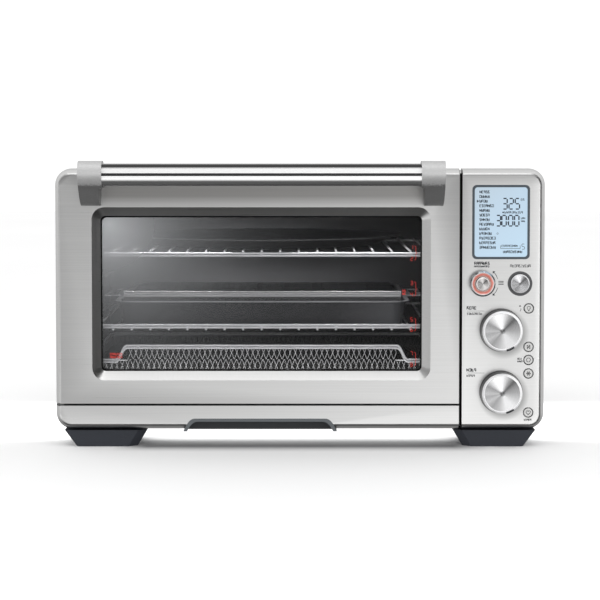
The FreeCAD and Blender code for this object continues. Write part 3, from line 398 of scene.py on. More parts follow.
def pan_look():
    """Enamelled roasting pan, with painted highlights on its rolled rim and towards the right end of its
    front wall.
    """
    paint = Paint("pan_enamel", 0.2, 0.30)
    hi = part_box("roasting_pan")[1]
    cloud = paint.noise((9, 9, 9), 1.0, 3.0)
    wall = paint.shades(cloud, (0.026, 0.026, 0.028), (0.034, 0.034, 0.036))
    # Painted highlights: paler towards the right end of the front wall and on the rim
    end = near(paint, paint.axis(0), hi.x - 42 * MM, 4 * MM, 60 * MM)
    wall = paint.mix(end, wall, (0.085, 0.086, 0.090))
    rim = near(paint, paint.axis(2), hi.z, 1.2 * MM, 0.6 * MM)
    paint.link(paint.mix(rim, wall, (0.30, 0.30, 0.31)), "Base Color")
    paint.link(paint.span(cloud, 0.26, 0.36), "Roughness")
    return paint.material


def grip_look():
    """Moulded plastic, with painted light on its front lip and painted shade in its recess."""
    paint = Paint("grip_plastic", 0.0, 0.5, Specular_IOR_Level=0.4)
    grain = paint.noise((1, 1, 1), 1800.0, 4.0)
    # Painted light on the front lip and painted shade in the recess
    lip = paint.math("LESS_THAN", paint.axis(1), FACE_Y + 0.5 * MM)
    shade = paint.mix(lip, (0.030, 0.034, 0.037), (0.125, 0.137, 0.146))
    paint.link(paint.mix(paint.span(grain, 0.0, 0.25), shade, (0.06, 0.065, 0.07)), "Base Color")
    paint.bump(grain, 0.4, 0.03)
    return paint.material


def broil_look():
    """Non-stick coating, with painted light on the ribbed front that faces out and painted shade on the
    plate behind it.
    """
    paint = Paint("broil_enamel", 0.3, 0.35)
    lo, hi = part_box("broil_rack")
    cloud = paint.noise((9, 40, 40), 1.0, 4.0)
    # Painted light on the outward ribbed front, painted shade on the plate behind
    front = near(paint, paint.axis(1), lo.y, 3.0 * MM, 1.5 * MM)
    ribs = near(paint, paint.axis(2), hi.z, 6.4 * MM, 0.8 * MM)
    light = paint.shades(cloud, grey(0.40), grey(0.48))
    paint.link(paint.mix(paint.math("MULTIPLY", front, ribs), (0.014, 0.014, 0.015), light), "Base Color")
    paint.link(paint.span(cloud, 0.30, 0.42), "Roughness")
    return paint.material


def moulded(name, base, rough=0.55):
    """Moulded plastic with a fine spark-eroded texture."""
    return grained(
        name, scaled(base, 0.85), scaled(base, 1.2), (1, 1, 1), 1800.0, 0.0, (rough, rough + 0.12), 0.03,
        Specular_IOR_Level=0.4,
    )


def sheet_metal(name, base, rough=0.4):
    """Plated sheet with faint spangle."""
    paint = Paint(name, 0.9, rough)
    cells = paint.add("ShaderNodeTexVoronoi", {"Vector": paint.place, "Scale": 220.0}).outputs["Color"]
    shine = paint.add("ShaderNodeRGBToBW", {0: cells}).outputs[0]
    paint.link(paint.shades(shine, scaled(base, 0.95), scaled(base, 1.04), 0.1, 0.9), "Base Color")
    paint.link(paint.span(shine, rough - 0.06, rough + 0.08, 0.1, 0.9), "Roughness")
    return paint.material


def polished(name, tone, rough, stretch=(1, 1, 1), scale=400.0):
    """Plated or polished metal with very fine marks."""
    light = tuple(min(1.0, level) for level in scaled(tone, 1.05))
    return grained(name, scaled(tone, 0.93), light, stretch, scale, 1.0, (rough, rough + 0.08), 0.006)


def wire_look(name, tone, rough):
    """Nickel-plated wire, partly matt, with a slow change of tone along it."""
    paint = Paint(name, 0.55, rough)
    cloud = paint.noise((1, 1, 1), 60.0, 3.0)
    paint.link(paint.shades(cloud, scaled(tone, 0.9), tone), "Base Color")
    paint.link(paint.span(cloud, rough, rough + 0.1), "Roughness")
    return paint.material


def circuit():
    paint = Paint("circuit_board", 0.0, 0.4)
    brick = paint.add("ShaderNodeTexVoronoi", {"Vector": paint.place, "Scale": 260.0}, distance="CHEBYCHEV")
    fac = paint.span(brick.outputs["Distance"], 0.0, 1.0, 0.30, 0.36)
    paint.link(paint.mix(fac, (0.02, 0.13, 0.06), (0.05, 0.22, 0.10)), "Base Color")
    return paint.material


def quartz_look():
    paint = Paint("quartz", 0.0, 0.3, Coat_Weight=0.4, Coat_Roughness=0.1)
    cloud = paint.noise((40, 200, 200), 1.0, 3.0)
    paint.link(paint.shades(cloud, (0.33, 0.31, 0.29), (0.50, 0.47, 0.44)), "Base Color")
    return paint.material


def lamp_look():
    paint = Paint("lamp_glass", 0.0, 0.25, Emission_Strength=0.25)
    cloud = paint.noise((120, 120, 120), 1.0, 2.0)
    colour = paint.shades(cloud, (0.85, 0.80, 0.68), (0.95, 0.92, 0.84))
    paint.link(colour, "Base Color")
    paint.link(colour, "Emission Color")
    return paint.material


def ink(name, tone, shine=0.5):
    """Printed ink, slightly uneven."""
    paint = Paint(name, 0.0, 0.5, Specular_IOR_Level=shine)
    grain = paint.noise((1, 1, 1), 2500.0, 2.0)
    paint.link(paint.shades(grain, scaled(tone, 0.85), scaled(tone, 1.15)), "Base Color")
    return paint.material


LOOKS = {
    "brushed_steel": brushed_front(),
    "casing_steel": brushed_casing(),
    "galvanised": sheet_metal("galvanised", (0.48, 0.49, 0.50)),
    "cavity_steel": speckled("cavity_steel", (0.024, 0.024, 0.026), (0.030, 0.030, 0.032), 0.34, 0.2),
    "black_enamel": speckled("black_enamel", (0.010, 0.010, 0.010), (0.03, 0.03, 0.03), 0.30),
    "pan_enamel": pan_look(),
    "broil_enamel": broil_look(),
    "tray_steel": sheet_metal("tray_steel", (0.40, 0.40, 0.39), 0.45),
    "dark_plastic": moulded("dark_plastic", (0.030, 0.034, 0.044)),
    "black_plastic": moulded("black_plastic", (0.012, 0.012, 0.013)),
    "screw_steel": polished("screw_steel", (0.50, 0.50, 0.50), 0.28),
    "quartz": quartz_look(),
    "ceramic": moulded("ceramic", (0.72, 0.70, 0.65), 0.7),
    "fan_aluminium": polished("fan_aluminium", (0.60, 0.60, 0.60), 0.35, (3, 300, 300), 1.0),
    "motor_steel": sheet_metal("motor_steel", (0.30, 0.30, 0.31)),
    "lamp_glass": lamp_look(),
    "bezel_chrome": polished("bezel_chrome", (0.66, 0.67, 0.68), 0.10),
    "handle_chrome": bar_look(),
    "satin_metal": bracket_look(),
    "button_steel": polished("button_steel", (0.72, 0.72, 0.71), 0.34, (6, 300, 1300), 1.0),
    "rack_wire": wire_look("rack_wire", (0.80, 0.80, 0.81), 0.42),
    "basket_mesh": wire_look("basket_mesh", (0.68, 0.68, 0.68), 0.42),
    "circuit_board": circuit(),
    "door_glass": door_glass_look(),
    "lcd_window": lcd_look(),
}
# Nodes that look different from the rest of their slot
OWN_LOOKS = {
    "panel_subframe": moulded("collar_plastic", (0.085, 0.086, 0.090), 0.4),
    "lcd_bezel": moulded("bezel_lacquer", (0.055, 0.070, 0.085), 0.35),
    "crumb_tray_grip": grip_look(),
    "pizza_pan": speckled("pizza_enamel", (0.004, 0.004, 0.0045), (0.006, 0.006, 0.006), 0.45),
}
# Spun parts: tone, radius of the spun face and how far out from the panel their painted dark shade reaches
SPUN = {
    "temp_knob": ((0.96, 0.96, 0.97), 19.6 * MM, 16.6 * MM),
    "time_knob": ((0.96, 0.96, 0.97), 19.6 * MM, 16.6 * MM),
    "select_button": ((0.86, 0.84, 0.83), 6.3 * MM, 5.0 * MM),
    "start_button": ((0.80, 0.80, 0.82), 9.4 * MM, 0.5 * MM),
}
BLACK_INK = ink("black_ink", (0.035, 0.037, 0.042))
BORDER_INK = ink("border_ink", (0.003, 0.003, 0.003), 0.1)
GREY_INK = ink("grey_ink", (0.07, 0.072, 0.078))
RED_INK = ink("red_ink", (0.62, 0.035, 0.022))
LCD_INK = ink("lcd_ink", (0.008, 0.016, 0.030))
GLOW = glow_look()


def dress_cad_nodes():
    """Gives every carried-over CAD node its finish and smooth shading between its sharp edges."""
    slots = {s["node"]: s["material_slot"] for s in frame["record"]["subparts"]}
    for name, node in NODES.items():
        if name in SPUN:
            tone, face_radius, side = SPUN[name]
            look = spun(name + "_metal", centre_of(name), tone, face_radius, FACE_Y - side)
        else:
            look = OWN_LOOKS.get(name) or LOOKS[slots[name]]
        node.data.materials.clear()
        node.data.materials.append(look)
        weld = node.modifiers.new("weld", "WELD")
        weld.merge_threshold = 0.00001
        smooth_by_angle(node, 32)


def smooth_by_angle(node, degrees):
    """Smooth shading that stays crisp at edges sharper than the angle."""
    for face in node.data.polygons:
        face.use_smooth = True
    split = node.modifiers.new("crisp", "EDGE_SPLIT")
    split.split_angle = math.radians(degrees)
    split.use_edge_sharp = False


# ---------------------------------------------------------------- mesh helpers


def piece(name, mesh, look, body):
    """A new piece of the object, with its look, riding on a body."""
    made = bpy.data.objects.new(name, mesh)
    bpy.context.scene.collection.objects.link(made)
    made.data.materials.append(look)
    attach(made, body)
    return made


def finished(bm, name):
    mesh = bpy.data.meshes.new(name)
    bmesh.ops.recalc_face_normals(bm, faces=bm.faces)
    bm.to_mesh(mesh)
    bm.free()
    return mesh


def add_prism(bm, outline, y):
    """Closed thin prism with an outline of (x, z) points, printed on a face that looks towards -Y."""
    front = [bm.verts.new((x, y, z)) for x, z in outline]
    back = [bm.verts.new((x, y + PRINT_DEEP, z)) for x, z in outline]
    bm.faces.new(front)
    bm.faces.new(back[::-1])
    for i in range(len(outline)):
        j = (i + 1) % len(outline)
        bm.faces.new((front[j], front[i], back[i], back[j]))


def add_stroke(bm, a, b, width, y):
    """Flat bar from a to b."""
    (ax, az), (bx, bz) = a, b
    length = math.hypot(bx - ax, bz - az)
    if length < 1e-9:
        return
    nx, nz = -(bz - az) / length * width / 2, (bx - ax) / length * width / 2
    add_prism(bm, [(ax + nx, az + nz), (bx + nx, bz + nz), (bx - nx, bz - nz), (ax - nx, az - nz)], y)


def add_path(bm, points, width, y, closed=False):
    pairs = list(zip(points, points[1:]))
    if closed:
        pairs.append((points[-1], points[0]))
    for a, b in pairs:
        add_stroke(bm, a, b, width, y)


def circle(cx, cz, r, count=40, start=0.0, sweep=math.tau):
    full = abs(sweep - math.tau) < 1e-6
    last = count if full else count - 1
    return [
        (cx + r * math.cos(start + sweep * i / last), cz + r * math.sin(start + sweep * i / last))
        for i in range(count)
    ]


def add_disc(bm, cx, cz, r, y):
    add_prism(bm, circle(cx, cz, r, 10), y)


def add_tube(bm, points, radius, sides):
    """Round wire through the points, closed at both ends."""
    rings = []
    last = len(points) - 1
    for i, point in enumerate(points):
        ahead = Vector(points[min(i + 1, last)]) - Vector(points[max(i - 1, 0)])
        along = ahead.normalized()
        side = along.cross(Vector((0, 0, 1)) if abs(along.z) < 0.9 else Vector((1, 0, 0))).normalized()
        up = side.cross(along)
        angles = [math.tau * k / sides for k in range(sides)]
        rings.append([bm.verts.new(Vector(point) + radius * (math.cos(a) * side + math.sin(a) * up))
                      for a in angles])
    for low, high in zip(rings, rings[1:]):
        join_rings(bm, low, high)
    bm.faces.new(rings[0][::-1])
    bm.faces.new(rings[-1])


def join_rings(bm, low, high):
    """Side faces between two closed rings of as many vertices."""
    count = len(low)
    for k in range(count):
        m = (k + 1) % count
        bm.faces.new((low[k], low[m], high[m], high[k]))


# ---------------------------------------------------------------- printed marks


def add_scribble(bm, x, z, height, letters, seed, width, y):
    """A run of small letter-like shapes that spell nothing."""
    rng = random.Random(seed)
    cell, gap = 0.62 * height, 0.24 * height
    for _ in range(letters):
        left, right, low, high = x, x + cell, z - height / 2, z + height / 2
        strokes = {
            "left": ((left, low), (left, high)),
            "right": ((right, low), (right, high)),
            "top": ((left, high), (right, high)),
            "mid": ((left, z), (right, z)),
            "low": ((left, low), (right, low)),
            "fall": ((left, high), (right, low)),
        }
        for key in rng.sample(sorted(strokes), 4):
            add_path(bm, strokes[key], width, y)
        x += cell + gap


SEVEN = {
    "0": "abcdef", "1": "bc", "2": "abged", "3": "abgcd", "4": "fgbc", "5": "afgcd", "6": "afgedc",
    "7": "abc", "8": "abcdefg", "9": "abcdfg",
}


def add_digit(bm, digit, x, z, w, h, width, y):
    """Seven-segment digit with its lower left corner at (x, z)."""
    g = width * 0.5
    lines = {
        "a": ((x + g, z + h), (x + w - g, z + h)),
        "b": ((x + w, z + h - g), (x + w, z + h / 2 + g)),
        "c": ((x + w, z + h / 2 - g), (x + w, z + g)),
        "d": ((x + g, z), (x + w - g, z)),
        "e": ((x, z + h / 2 - g), (x, z + g)),
        "f": ((x, z + h - g), (x, z + h / 2 + g)),
        "g": ((x + g, z + h / 2), (x + w - g, z + h / 2)),
    }
    for key in SEVEN[digit]:
        add_stroke(bm, *lines[key], width, y)


def display_contents():
    """Menu column, set temperature, remaining time and small flags on the display."""
    bm = bmesh.new()
    y = LCD_LO.y - 0.05 * MM
    wide, tall = LCD_HI.x - LCD_LO.x, LCD_HI.z - LCD_LO.z

    def at(u, v):
        return LCD_LO.x + u * wide, LCD_HI.z - v * tall

    for row, letters in enumerate(MENU):
        add_scribble(bm, *at(0.094, MENU_TOP + MENU_PITCH * row), 2.7 * MM, letters, 100 + row, 0.58 * MM, y)
    x, z = at(0.046, MENU_TOP + 2 * MENU_PITCH)
    for i in range(6):
        half = (1.5 - 0.26 * i) * MM
        add_stroke(bm, (x + 0.42 * i * MM, z - half), (x + 0.42 * i * MM, z + half), 0.46 * MM, y)
    for row in READOUT:
        for digit, u in row[1]:
            add_digit(bm, digit, *at(u, row[0]), 0.082 * wide, 0.152 * tall, 1.4 * MM, y)
    for v in (0.458, 0.508):
        add_disc(bm, *at(0.623, v), 0.42 * MM, y)
    add_disc(bm, *at(0.540, 0.361), 1.0 * MM, y)
    for u, v, shift, height, letters, seed, width in FLAGS:
        x, z = at(u, v)
        add_scribble(bm, x + shift * MM, z, height * MM, letters, seed, width * MM, y)
    x0, z0 = at(0.495, 0.880)
    x1, z1 = at(0.865, 0.836)
    add_path(bm, [(x0, z1), (x0, z0), (x1, z0), (x1, z1)], 0.45 * MM, y)
    add_scribble(bm, x0 + 1.2 * MM, (z0 + z1) / 2 + 1.2 * MM, 2.1 * MM, 10, 20, 0.40 * MM, y)
    add_digit(bm, "5", *at(0.898, 0.890), 0.05 * wide, 0.075 * tall, 0.55 * MM, y)
    add_path(bm, circle(*at(0.435, MENU_TOP + 9 * MENU_PITCH), 0.9 * MM, 12), 0.35 * MM, y, True)
    piece("display_segments", finished(bm, "display_segments"), LCD_INK, "chassis")


# The display's layout, in parts of its width (from the left) and of its height (from the top)
MENU = (5, 5, 4, 7, 5, 5, 5, 7, 5, 6, 8, 8, 8)  # letters in each row of the menu
MENU_TOP, MENU_PITCH = 0.067, 0.0664
READOUT = (
    (0.313, (("3", 0.533), ("2", 0.650), ("5", 0.767))),
    (0.556, (("3", 0.410), ("0", 0.517), ("0", 0.642), ("0", 0.757))),
)
# Small flags: across, down, shift across in mm, letter height in mm, letters, seed and stroke in mm
FLAGS = (
    (0.875, 0.178, 0.0, 2.4, 2, 7, 0.40),
    (0.540, 0.361, 1.6, 2.4, 10, 8, 0.40),
    (0.880, 0.445, 0.0, 1.9, 3, 9, 0.36),
    (0.880, 0.487, 0.0, 1.9, 3, 10, 0.36),
    (0.545, 0.927, 0.0, 2.5, 10, 21, 0.55),
)


def add_arrow_arc(bm, middle, start, end, y):
    """Arc about a dial, with a small arrowhead at its end."""
    points = circle(middle.x, middle.z, 18.0 * MM, 12, start, end - start)
    add_path(bm, points, 0.6 * MM, y)
    tip_x, tip_z = points[-1]
    heading = end + (math.pi / 2 if end > start else -math.pi / 2)
    for i in range(4):
        back, half = (0.5 * i - 1.2) * MM, (0.35 + 0.46 * i) * MM
        bx, bz = tip_x - back * math.cos(heading), tip_z - back * math.sin(heading)
        nx, nz = -math.sin(heading) * half, math.cos(heading) * half
        add_stroke(bm, (bx - nx, bz - nz), (bx + nx, bz + nz), 0.55 * MM, y)


def panel_print():
    """Labels and guide marks printed on the control panel."""
    bm = bmesh.new()
    y = FACE_Y - PRINT
    for node, across, up, height, letters, seed, width in LABELS:
        at = centre_of(node)
        add_scribble(bm, at.x + across * MM, at.z + up * MM, height * MM, letters, seed, width, y)
    start, select, lamp = (centre_of(n) for n in ("start_button", "select_dial", "lamp_button"))
    divider = start.x + 1.34 * MM
    add_stroke(bm, (divider, start.z + 17.8 * MM), (divider, start.z + 21.8 * MM), 0.35 * MM, y)
    for way in (1, -1):
        add_arrow_arc(bm, select, way * math.radians(16), way * math.radians(44), y)
    for i in range(3):
        z = select.z + (2.2 - 1.7 * i) * MM
        add_stroke(bm, (select.x + 18.2 * MM, z), (select.x + 24.0 * MM, z), 0.8 * MM, y)
    for knob in ("temp_knob", "time_knob"):
        at = centre_of(knob)
        left, z = at.x - 38.3 * MM, at.z + 21.2 * MM
        add_stroke(bm, (left, z), (left + 19.5 * MM, z), 0.3 * MM, y)
    x, z = lamp.x - 9.8 * MM, lamp.z
    for k in range(3):
        a = math.pi * k / 3
        dx, dz = 1.0 * MM * math.cos(a), 1.0 * MM * math.sin(a)
        add_stroke(bm, (x - dx, z + 2.6 * MM - dz), (x + dx, z + 2.6 * MM + dz), 0.5 * MM, y)
    add_path(bm, circle(x - 2 * MM, z - 0.8 * MM, 3.0 * MM, 8, -0.9, 1.2), 0.55 * MM, y)
    piece("panel_print", finished(bm, "panel_print"), BLACK_INK, "chassis")


# Labels by the control they belong to: shift across and up and letter height in mm, letters, seed, stroke
LABELS = (
    ("select_dial", -8.6, 22.4, 2.9, 7, 31, HEAVY),
    ("select_dial", -8.9, 18.9, 1.8, 11, 32, LIGHT),
    ("start_button", -11.0, 19.8, 2.8, 5, 33, MEDIUM),
    ("start_button", 2.64, 19.8, 2.8, 4, 34, MEDIUM),
    ("temp_knob", -38.3, 24.6, 3.2, 4, 18, HEAVY),
    ("temp_knob", -38.3, 18.2, 2.2, 9, 49, LIGHT),
    ("time_knob", -38.3, 24.6, 3.2, 4, 14, HEAVY),
    ("time_knob", -38.3, 18.2, 2.2, 5, 45, LIGHT),
    ("phone_button", -12.3, 1.2, 1.9, 3, 51, LIGHT),
    ("phone_button", -12.3, -1.6, 1.7, 4, 52, LIGHT),
    ("favourite_button", -4.6, -8.2, 2.0, 5, 53, LIGHT),
)


# Icons, drawn about (0, 0) in millimetres as lists of paths


def heart_points():
    points = []
    for i in range(25):
        t = math.tau * i / 24
        x = 16 * math.sin(t) ** 3
        z = 13 * math.cos(t) - 5 * math.cos(2 * t) - 2 * math.cos(3 * t) - math.cos(4 * t)
        points.append((0.16 * x, 0.16 * z))
    return points


def snow_paths():
    paths = []
    for k in range(6):
        a = math.pi / 3 * k
        c, s = math.cos(a), math.sin(a)
        paths.append([(0, 0), (2.6 * c, 2.6 * s)])
        for side in (-0.6, 0.6):
            b = a + side
            paths.append([(1.5 * c, 1.5 * s), (1.5 * c + 0.9 * math.cos(b), 1.5 * s + 0.9 * math.sin(b))])
    return paths


def fan_paths():
    def polar(radius, angle):
        return radius * math.cos(angle), radius * math.sin(angle)

    paths = []
    for k in range(4):
        a = math.pi / 2 * k + 0.4
        for reach, lean in ((1.6, 0.25), (2.0, 0.05)):
            paths.append([polar(0.3, a), polar(reach, a + lean), polar(2.5, a + 0.75)])
    return paths


def bulb_paths():
    return [
        circle(0, 0.6, 1.8, 16, math.radians(-60), math.radians(300)),
        [(-0.75, -1.2), (-0.75, -2.0)], [(0.75, -1.2), (0.75, -2.0)], [(-0.8, -2.1), (0.8, -2.1)],
        [(-0.5, -2.8), (0.5, -2.8)],
    ]


def dial_paths():
    return [circle(0, 0, 2.3, 22, math.radians(-15), math.radians(300)), circle(1.4, -1.5, 0.45, 8)]


ICONS = {
    "lamp_button": bulb_paths,
    "fan_button": fan_paths,
    "phone_button": dial_paths,
    "frozen_button": snow_paths,
    "favourite_button": lambda: [heart_points()],
}


def icon_prints():
    """The ring and the icon on each small button; they move with the button."""
    for node, paths in ICONS.items():
        bm = bmesh.new()
        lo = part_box(node)[0]
        at = centre_of(node)
        y = lo.y - PRINT
        radius = at.x - lo.x - 0.7 * MM
        add_path(bm, circle(at.x, at.z, radius, 40), 0.6 * MM, y, True)
        for path in paths():
            add_path(bm, [(at.x + x * MM, at.z + z * MM) for x, z in path], 0.7 * MM, y)
        piece(node + "_icon", finished(bm, node + "_icon"), GREY_INK, node)


def glass_print():
    """Red level numbers with their brackets, and two rows of small red marks, on the glass."""
    bm = bmesh.new()
    y = GLASS_LO.y - PRINT
    right = GLASS_HI.x - 23.2 * MM
    for pair, (upper, lower) in enumerate(LEVELS):
        for place, z in enumerate((upper, lower)):
            number = str(2 * pair + place + 1)
            add_digit(bm, number, right, z - 2.0 * MM, 2.4 * MM, 4.2 * MM, 0.62 * MM, y)
        middle = (upper + lower) / 2
        x = right + 4.4 * MM
        bracket = [
            (x, upper + 1.5 * MM), (x + 1.4 * MM, upper + 0.4 * MM), (x + 1.4 * MM, middle + 1 * MM),
            (x + 2.6 * MM, middle), (x + 1.4 * MM, middle - 1 * MM), (x + 1.4 * MM, lower - 0.4 * MM),
            (x, lower - 1.5 * MM),
        ]
        add_path(bm, bracket, 0.5 * MM, y)
    left = GLASS_LO.x + 20.5 * MM
    for row in range(2):
        low_z = GLASS_LO.z + (29.5 - 3.4 * row) * MM
        add_scribble(bm, left, low_z, 2.3 * MM, 7, 60 + row, 0.45 * MM, y)
        add_scribble(bm, right - 9 * MM, 0.176 - 3.6 * row * MM, 2.4 * MM, 2, 70 + row, 0.5 * MM, y)
    piece("glass_print", finished(bm, "glass_print"), RED_INK, "door")


# Heights of the level numbers on the glass, in pairs from the top, where the eye sees the rails behind
LEVELS = ((0.2245, 0.2115), (0.1842, 0.1712), (0.1432, 0.1318), (0.1050, 0.0923))


def window_border():
    """Thin black line printed round the edge of the visible glass."""
    bm = bmesh.new()
    lap, r, wide = 10.5 * MM, 5.5 * MM, 3.4 * MM
    x0, x1 = GLASS_LO.x + lap, GLASS_HI.x - lap
    z0, z1 = GLASS_LO.z + lap, GLASS_HI.z - lap
    corners = ((x1 - r, z1 - r), (x0 + r, z1 - r), (x0 + r, z0 + r), (x1 - r, z0 + r))
    outer = []
    for quarter, (cx, cz) in enumerate(corners):
        outer += circle(cx, cz, r, 9, quarter * math.pi / 2, math.pi / 2)
    inner = [(x - math.copysign(wide / 2, x - (x0 + x1) / 2), z - math.copysign(wide / 2, z - (z0 + z1) / 2))
             for x, z in outer]
    y = GLASS_LO.y - PRINT / 2
    rings = [[bm.verts.new((x, depth, z)) for x, z in line]
             for line, depth in ((outer, y), (inner, y), (inner, y + PRINT), (outer, y + PRINT))]
    for ring, following in zip(rings, rings[1:] + rings[:1]):
        join_rings(bm, ring, following)
    piece("window_border", finished(bm, "window_border"), BORDER_INK, "door")


# ---------------------------------------------------------------- detail pieces


def knob_marks():
    """Dark pointer notch on each knob's bevelled rim, at the lower right."""
    section = ((-1.5, -0.3), (1.3, 2.0), (1.3, 2.7), (-1.5, 0.3))  # out from the rim and inwards, in mm
    for node in ("temp_knob", "time_knob"):
        lo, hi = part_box(node)
        at = (lo + hi) / 2
        radius = (hi.x - lo.x) / 2
        bm = bmesh.new()
        rows = []
        for x, z in circle(at.x, at.z, radius - 2.3 * MM, 9, math.radians(-78), math.radians(24)):
            out = Vector((x - at.x, 0, z - at.z)).normalized()
            rows.append([bm.verts.new((x + out.x * push * MM, lo.y + deep * MM, z + out.z * push * MM))
                         for push, deep in section])
        for a, b in zip(rows, rows[1:]):
            join_rings(bm, a, b)
        bm.faces.new(rows[0][::-1])
        bm.faces.new(rows[-1])
        piece(node + "_mark", finished(bm, node + "_mark"), BLACK_INK, node)


def dial_glow():
    """Lit ring inside the select dial, between its rim and the button."""
    lo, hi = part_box("select_dial")
    at = (lo + hi) / 2
    rim = (hi.x - lo.x) / 2
    # in from the rim and out from the panel, in mm
    section = ((2.2, 10.15), (4.3, 9.1), (6.3, 7.65), (6.3, 7.1), (4.3, 8.55), (2.2, 9.9))
    bm = bmesh.new()
    steps = 64
    rings = []
    for i in range(steps):
        a = math.tau * i / steps
        radii = [(rim - back * MM, out) for back, out in section]
        rings.append([bm.verts.new((at.x + r * math.cos(a), FACE_Y - out * MM, at.z + r * math.sin(a)))
                      for r, out in radii])
    for ring, following in zip(rings, rings[1:] + rings[:1]):
        join_rings(bm, ring, following)
    piece("dial_glow", finished(bm, "dial_glow"), GLOW, "select_dial")


def strand_lines(wide, tall, pitch, slope):
    """Lines of a diamond mesh that fills a wide by tall rectangle, each with the way that it leans."""
    reach = tall / slope
    for i in range(int((wide + reach) / pitch) + 1):
        base = -reach + i * pitch
        for sign in (1, -1):
            u0, u1 = (base, base + reach) if sign > 0 else (base + reach, base)
            du = u1 - u0
            t_low, t_high = 0.0, 1.0
            for edge in (0.0, wide):
                t = (edge - u0) / du
                if (du > 0) == (edge == 0.0):
                    t_low = max(t_low, t)
                else:
                    t_high = min(t_high, t)
            if t_high - t_low > 1e-4:
                yield sign, [(u0 + du * t, tall * t) for t in (t_low, t_high)]


def mesh_basket():
    """Basket of diamond mesh: floor and four walls of crossed strands, with a folded hem along the top; the
    floor, back and side walls carry painted shade.
    """
    near_bm, far_bm = bmesh.new(), bmesh.new()
    wire, pitch, slope, hem = 0.42 * MM, 6.05 * MM, 2.6, 0.9 * MM
    lo, hi = BASKET_LO, BASKET_HI
    (r0, r1), rim = BASKET_RAISED, BASKET_RIM
    floor_z = lo.z + wire

    def panel(target, origin, across, up, wide, tall):
        normal = across.cross(up)
        for sign, points in strand_lines(wide, tall, pitch, slope):
            lift = normal * (0.5 * wire * sign)
            add_tube(target, [Vector(origin) + across * u + up * v + lift for u, v in points], wire, 5)

    x_axis, y_axis, z_axis = Vector((1, 0, 0)), Vector((0, 1, 0)), Vector((0, 0, 1))
    wide, deep, tall = hi.x - lo.x, hi.y - lo.y, rim - floor_z
    inset = 2 * wire
    panel(far_bm, (lo.x, lo.y, floor_z), x_axis, y_axis, wide, deep)
    for target, y in ((near_bm, lo.y + inset), (far_bm, hi.y - inset)):
        panel(target, (lo.x, y, floor_z), x_axis, z_axis, wide, tall)
    panel(near_bm, (r0, lo.y + inset, rim), x_axis, z_axis, r1 - r0, hi.z - rim)
    for x in (lo.x + inset, hi.x - inset):
        panel(far_bm, (x, lo.y, floor_z), y_axis, z_axis, deep, tall)
    low, front, back = rim - hem, lo.y + hem, hi.y - hem
    add_tube(near_bm, [(lo.x, back, low), (hi.x, back, low)], hem, 8)
    for x0, x1 in ((lo.x, r0), (r1, hi.x)):
        add_tube(near_bm, [(x0, front, low), (x1, front, low)], hem, 8)
    for x in (lo.x + hem, hi.x - hem):
        add_tube(near_bm, [(x, lo.y, low), (x, hi.y, low)], hem, 8)
    add_tube(near_bm, [(r0, front, hi.z - hem), (r1, front, hi.z - hem)], hem, 8)
    near_mesh, far_mesh = finished(near_bm, "diamond_mesh"), finished(far_bm, "mesh_floor")
    made = piece("diamond_mesh", near_mesh, LOOKS["basket_mesh"], "basket")
    smooth_by_angle(made, 80)
    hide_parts("basket_mesh")
    # Painted shade: the floor, back and side walls get a darker copy of the wire look
    shaded_mesh_look = wire_look("painted_shade_mesh", grey(0.10), 0.55)
    rest = piece("mesh_floor", far_mesh, shaded_mesh_look, "basket")
    smooth_by_angle(rest, 80)


# Height of the basket's low rim, and how far its higher front part reaches across
BASKET_RIM = 0.0954
BASKET_RAISED = (-0.196, 0.1096)


# ---------------------------------------------------------------- stage


def camera():
    """Straight in front, a little above the oven, far back with a long lens."""
    distance, height, pitch = 2.2, 0.336, math.radians(3.03)
    data = bpy.data.cameras.new("camera")
    data.sensor_width = 36.0
    data.lens = 118.4
    data.shift_y = -0.08
    data.clip_start, data.clip_end = 0.05, 60.0
    made = bpy.data.objects.new("camera", data)
    made.location = (0.0, FACE_Y - distance, height)
    made.rotation_euler = (math.pi / 2 - pitch, 0, 0)
    bpy.context.scene.collection.objects.link(made)
    bpy.context.scene.camera = made


def hang(name, data, place, target):
    """Puts a light in the scene, turned towards its target."""
    made = bpy.data.objects.new(name, data)
    made.location = place
    made.rotation_euler = (Vector(target) - Vector(place)).to_track_quat("-Z", "Y").to_euler()
    bpy.context.scene.collection.objects.link(made)
    return made


def area_light(name, place, target, size, power):
    data = bpy.data.lights.new(name, "AREA")
    data.shape = "RECTANGLE"
    data.size, data.size_y = size
    data.energy = power
    return hang(name, data, place, target)


def floor():
    """Pale studio floor, with a painted soft shadow line where the oven's front stands over it."""
    bm = bmesh.new()
    half = 8.0
    corners = ((-half, -half), (half, -half), (half, half), (-half, half))
    bm.faces.new([bm.verts.new((x, y, 0.0)) for x, y in corners])
    mesh = finished(bm, "floor")
    made = bpy.data.objects.new("floor", mesh)
    bpy.context.scene.collection.objects.link(made)
    paint = Paint("floor_white", 0.0, 0.9, Specular_IOR_Level=0.1)
    cloud = paint.noise((1, 1, 1), 0.7, 2.0)
    pale = paint.shades(cloud, grey(0.90), grey(0.93), 0.2, 0.8)
    # Painted shadow: a dark band along the oven's front edge
    across = near(paint, paint.axis(0), 0.0, 172 * MM, 40 * MM)
    depth = near(paint, paint.axis(1), FACE_Y + 8 * MM, 4 * MM, 38 * MM)
    painted_contact_shadow = paint.math("MULTIPLY", across, paint.math("POWER", depth, 1.6))
    paint.link(paint.mix(paint.math("MULTIPLY", painted_contact_shadow, 0.9), pale, (0.21, 0.208, 0.215)), "Base Color")
    made.data.materials.append(paint.material)
    made.visible_glossy = False


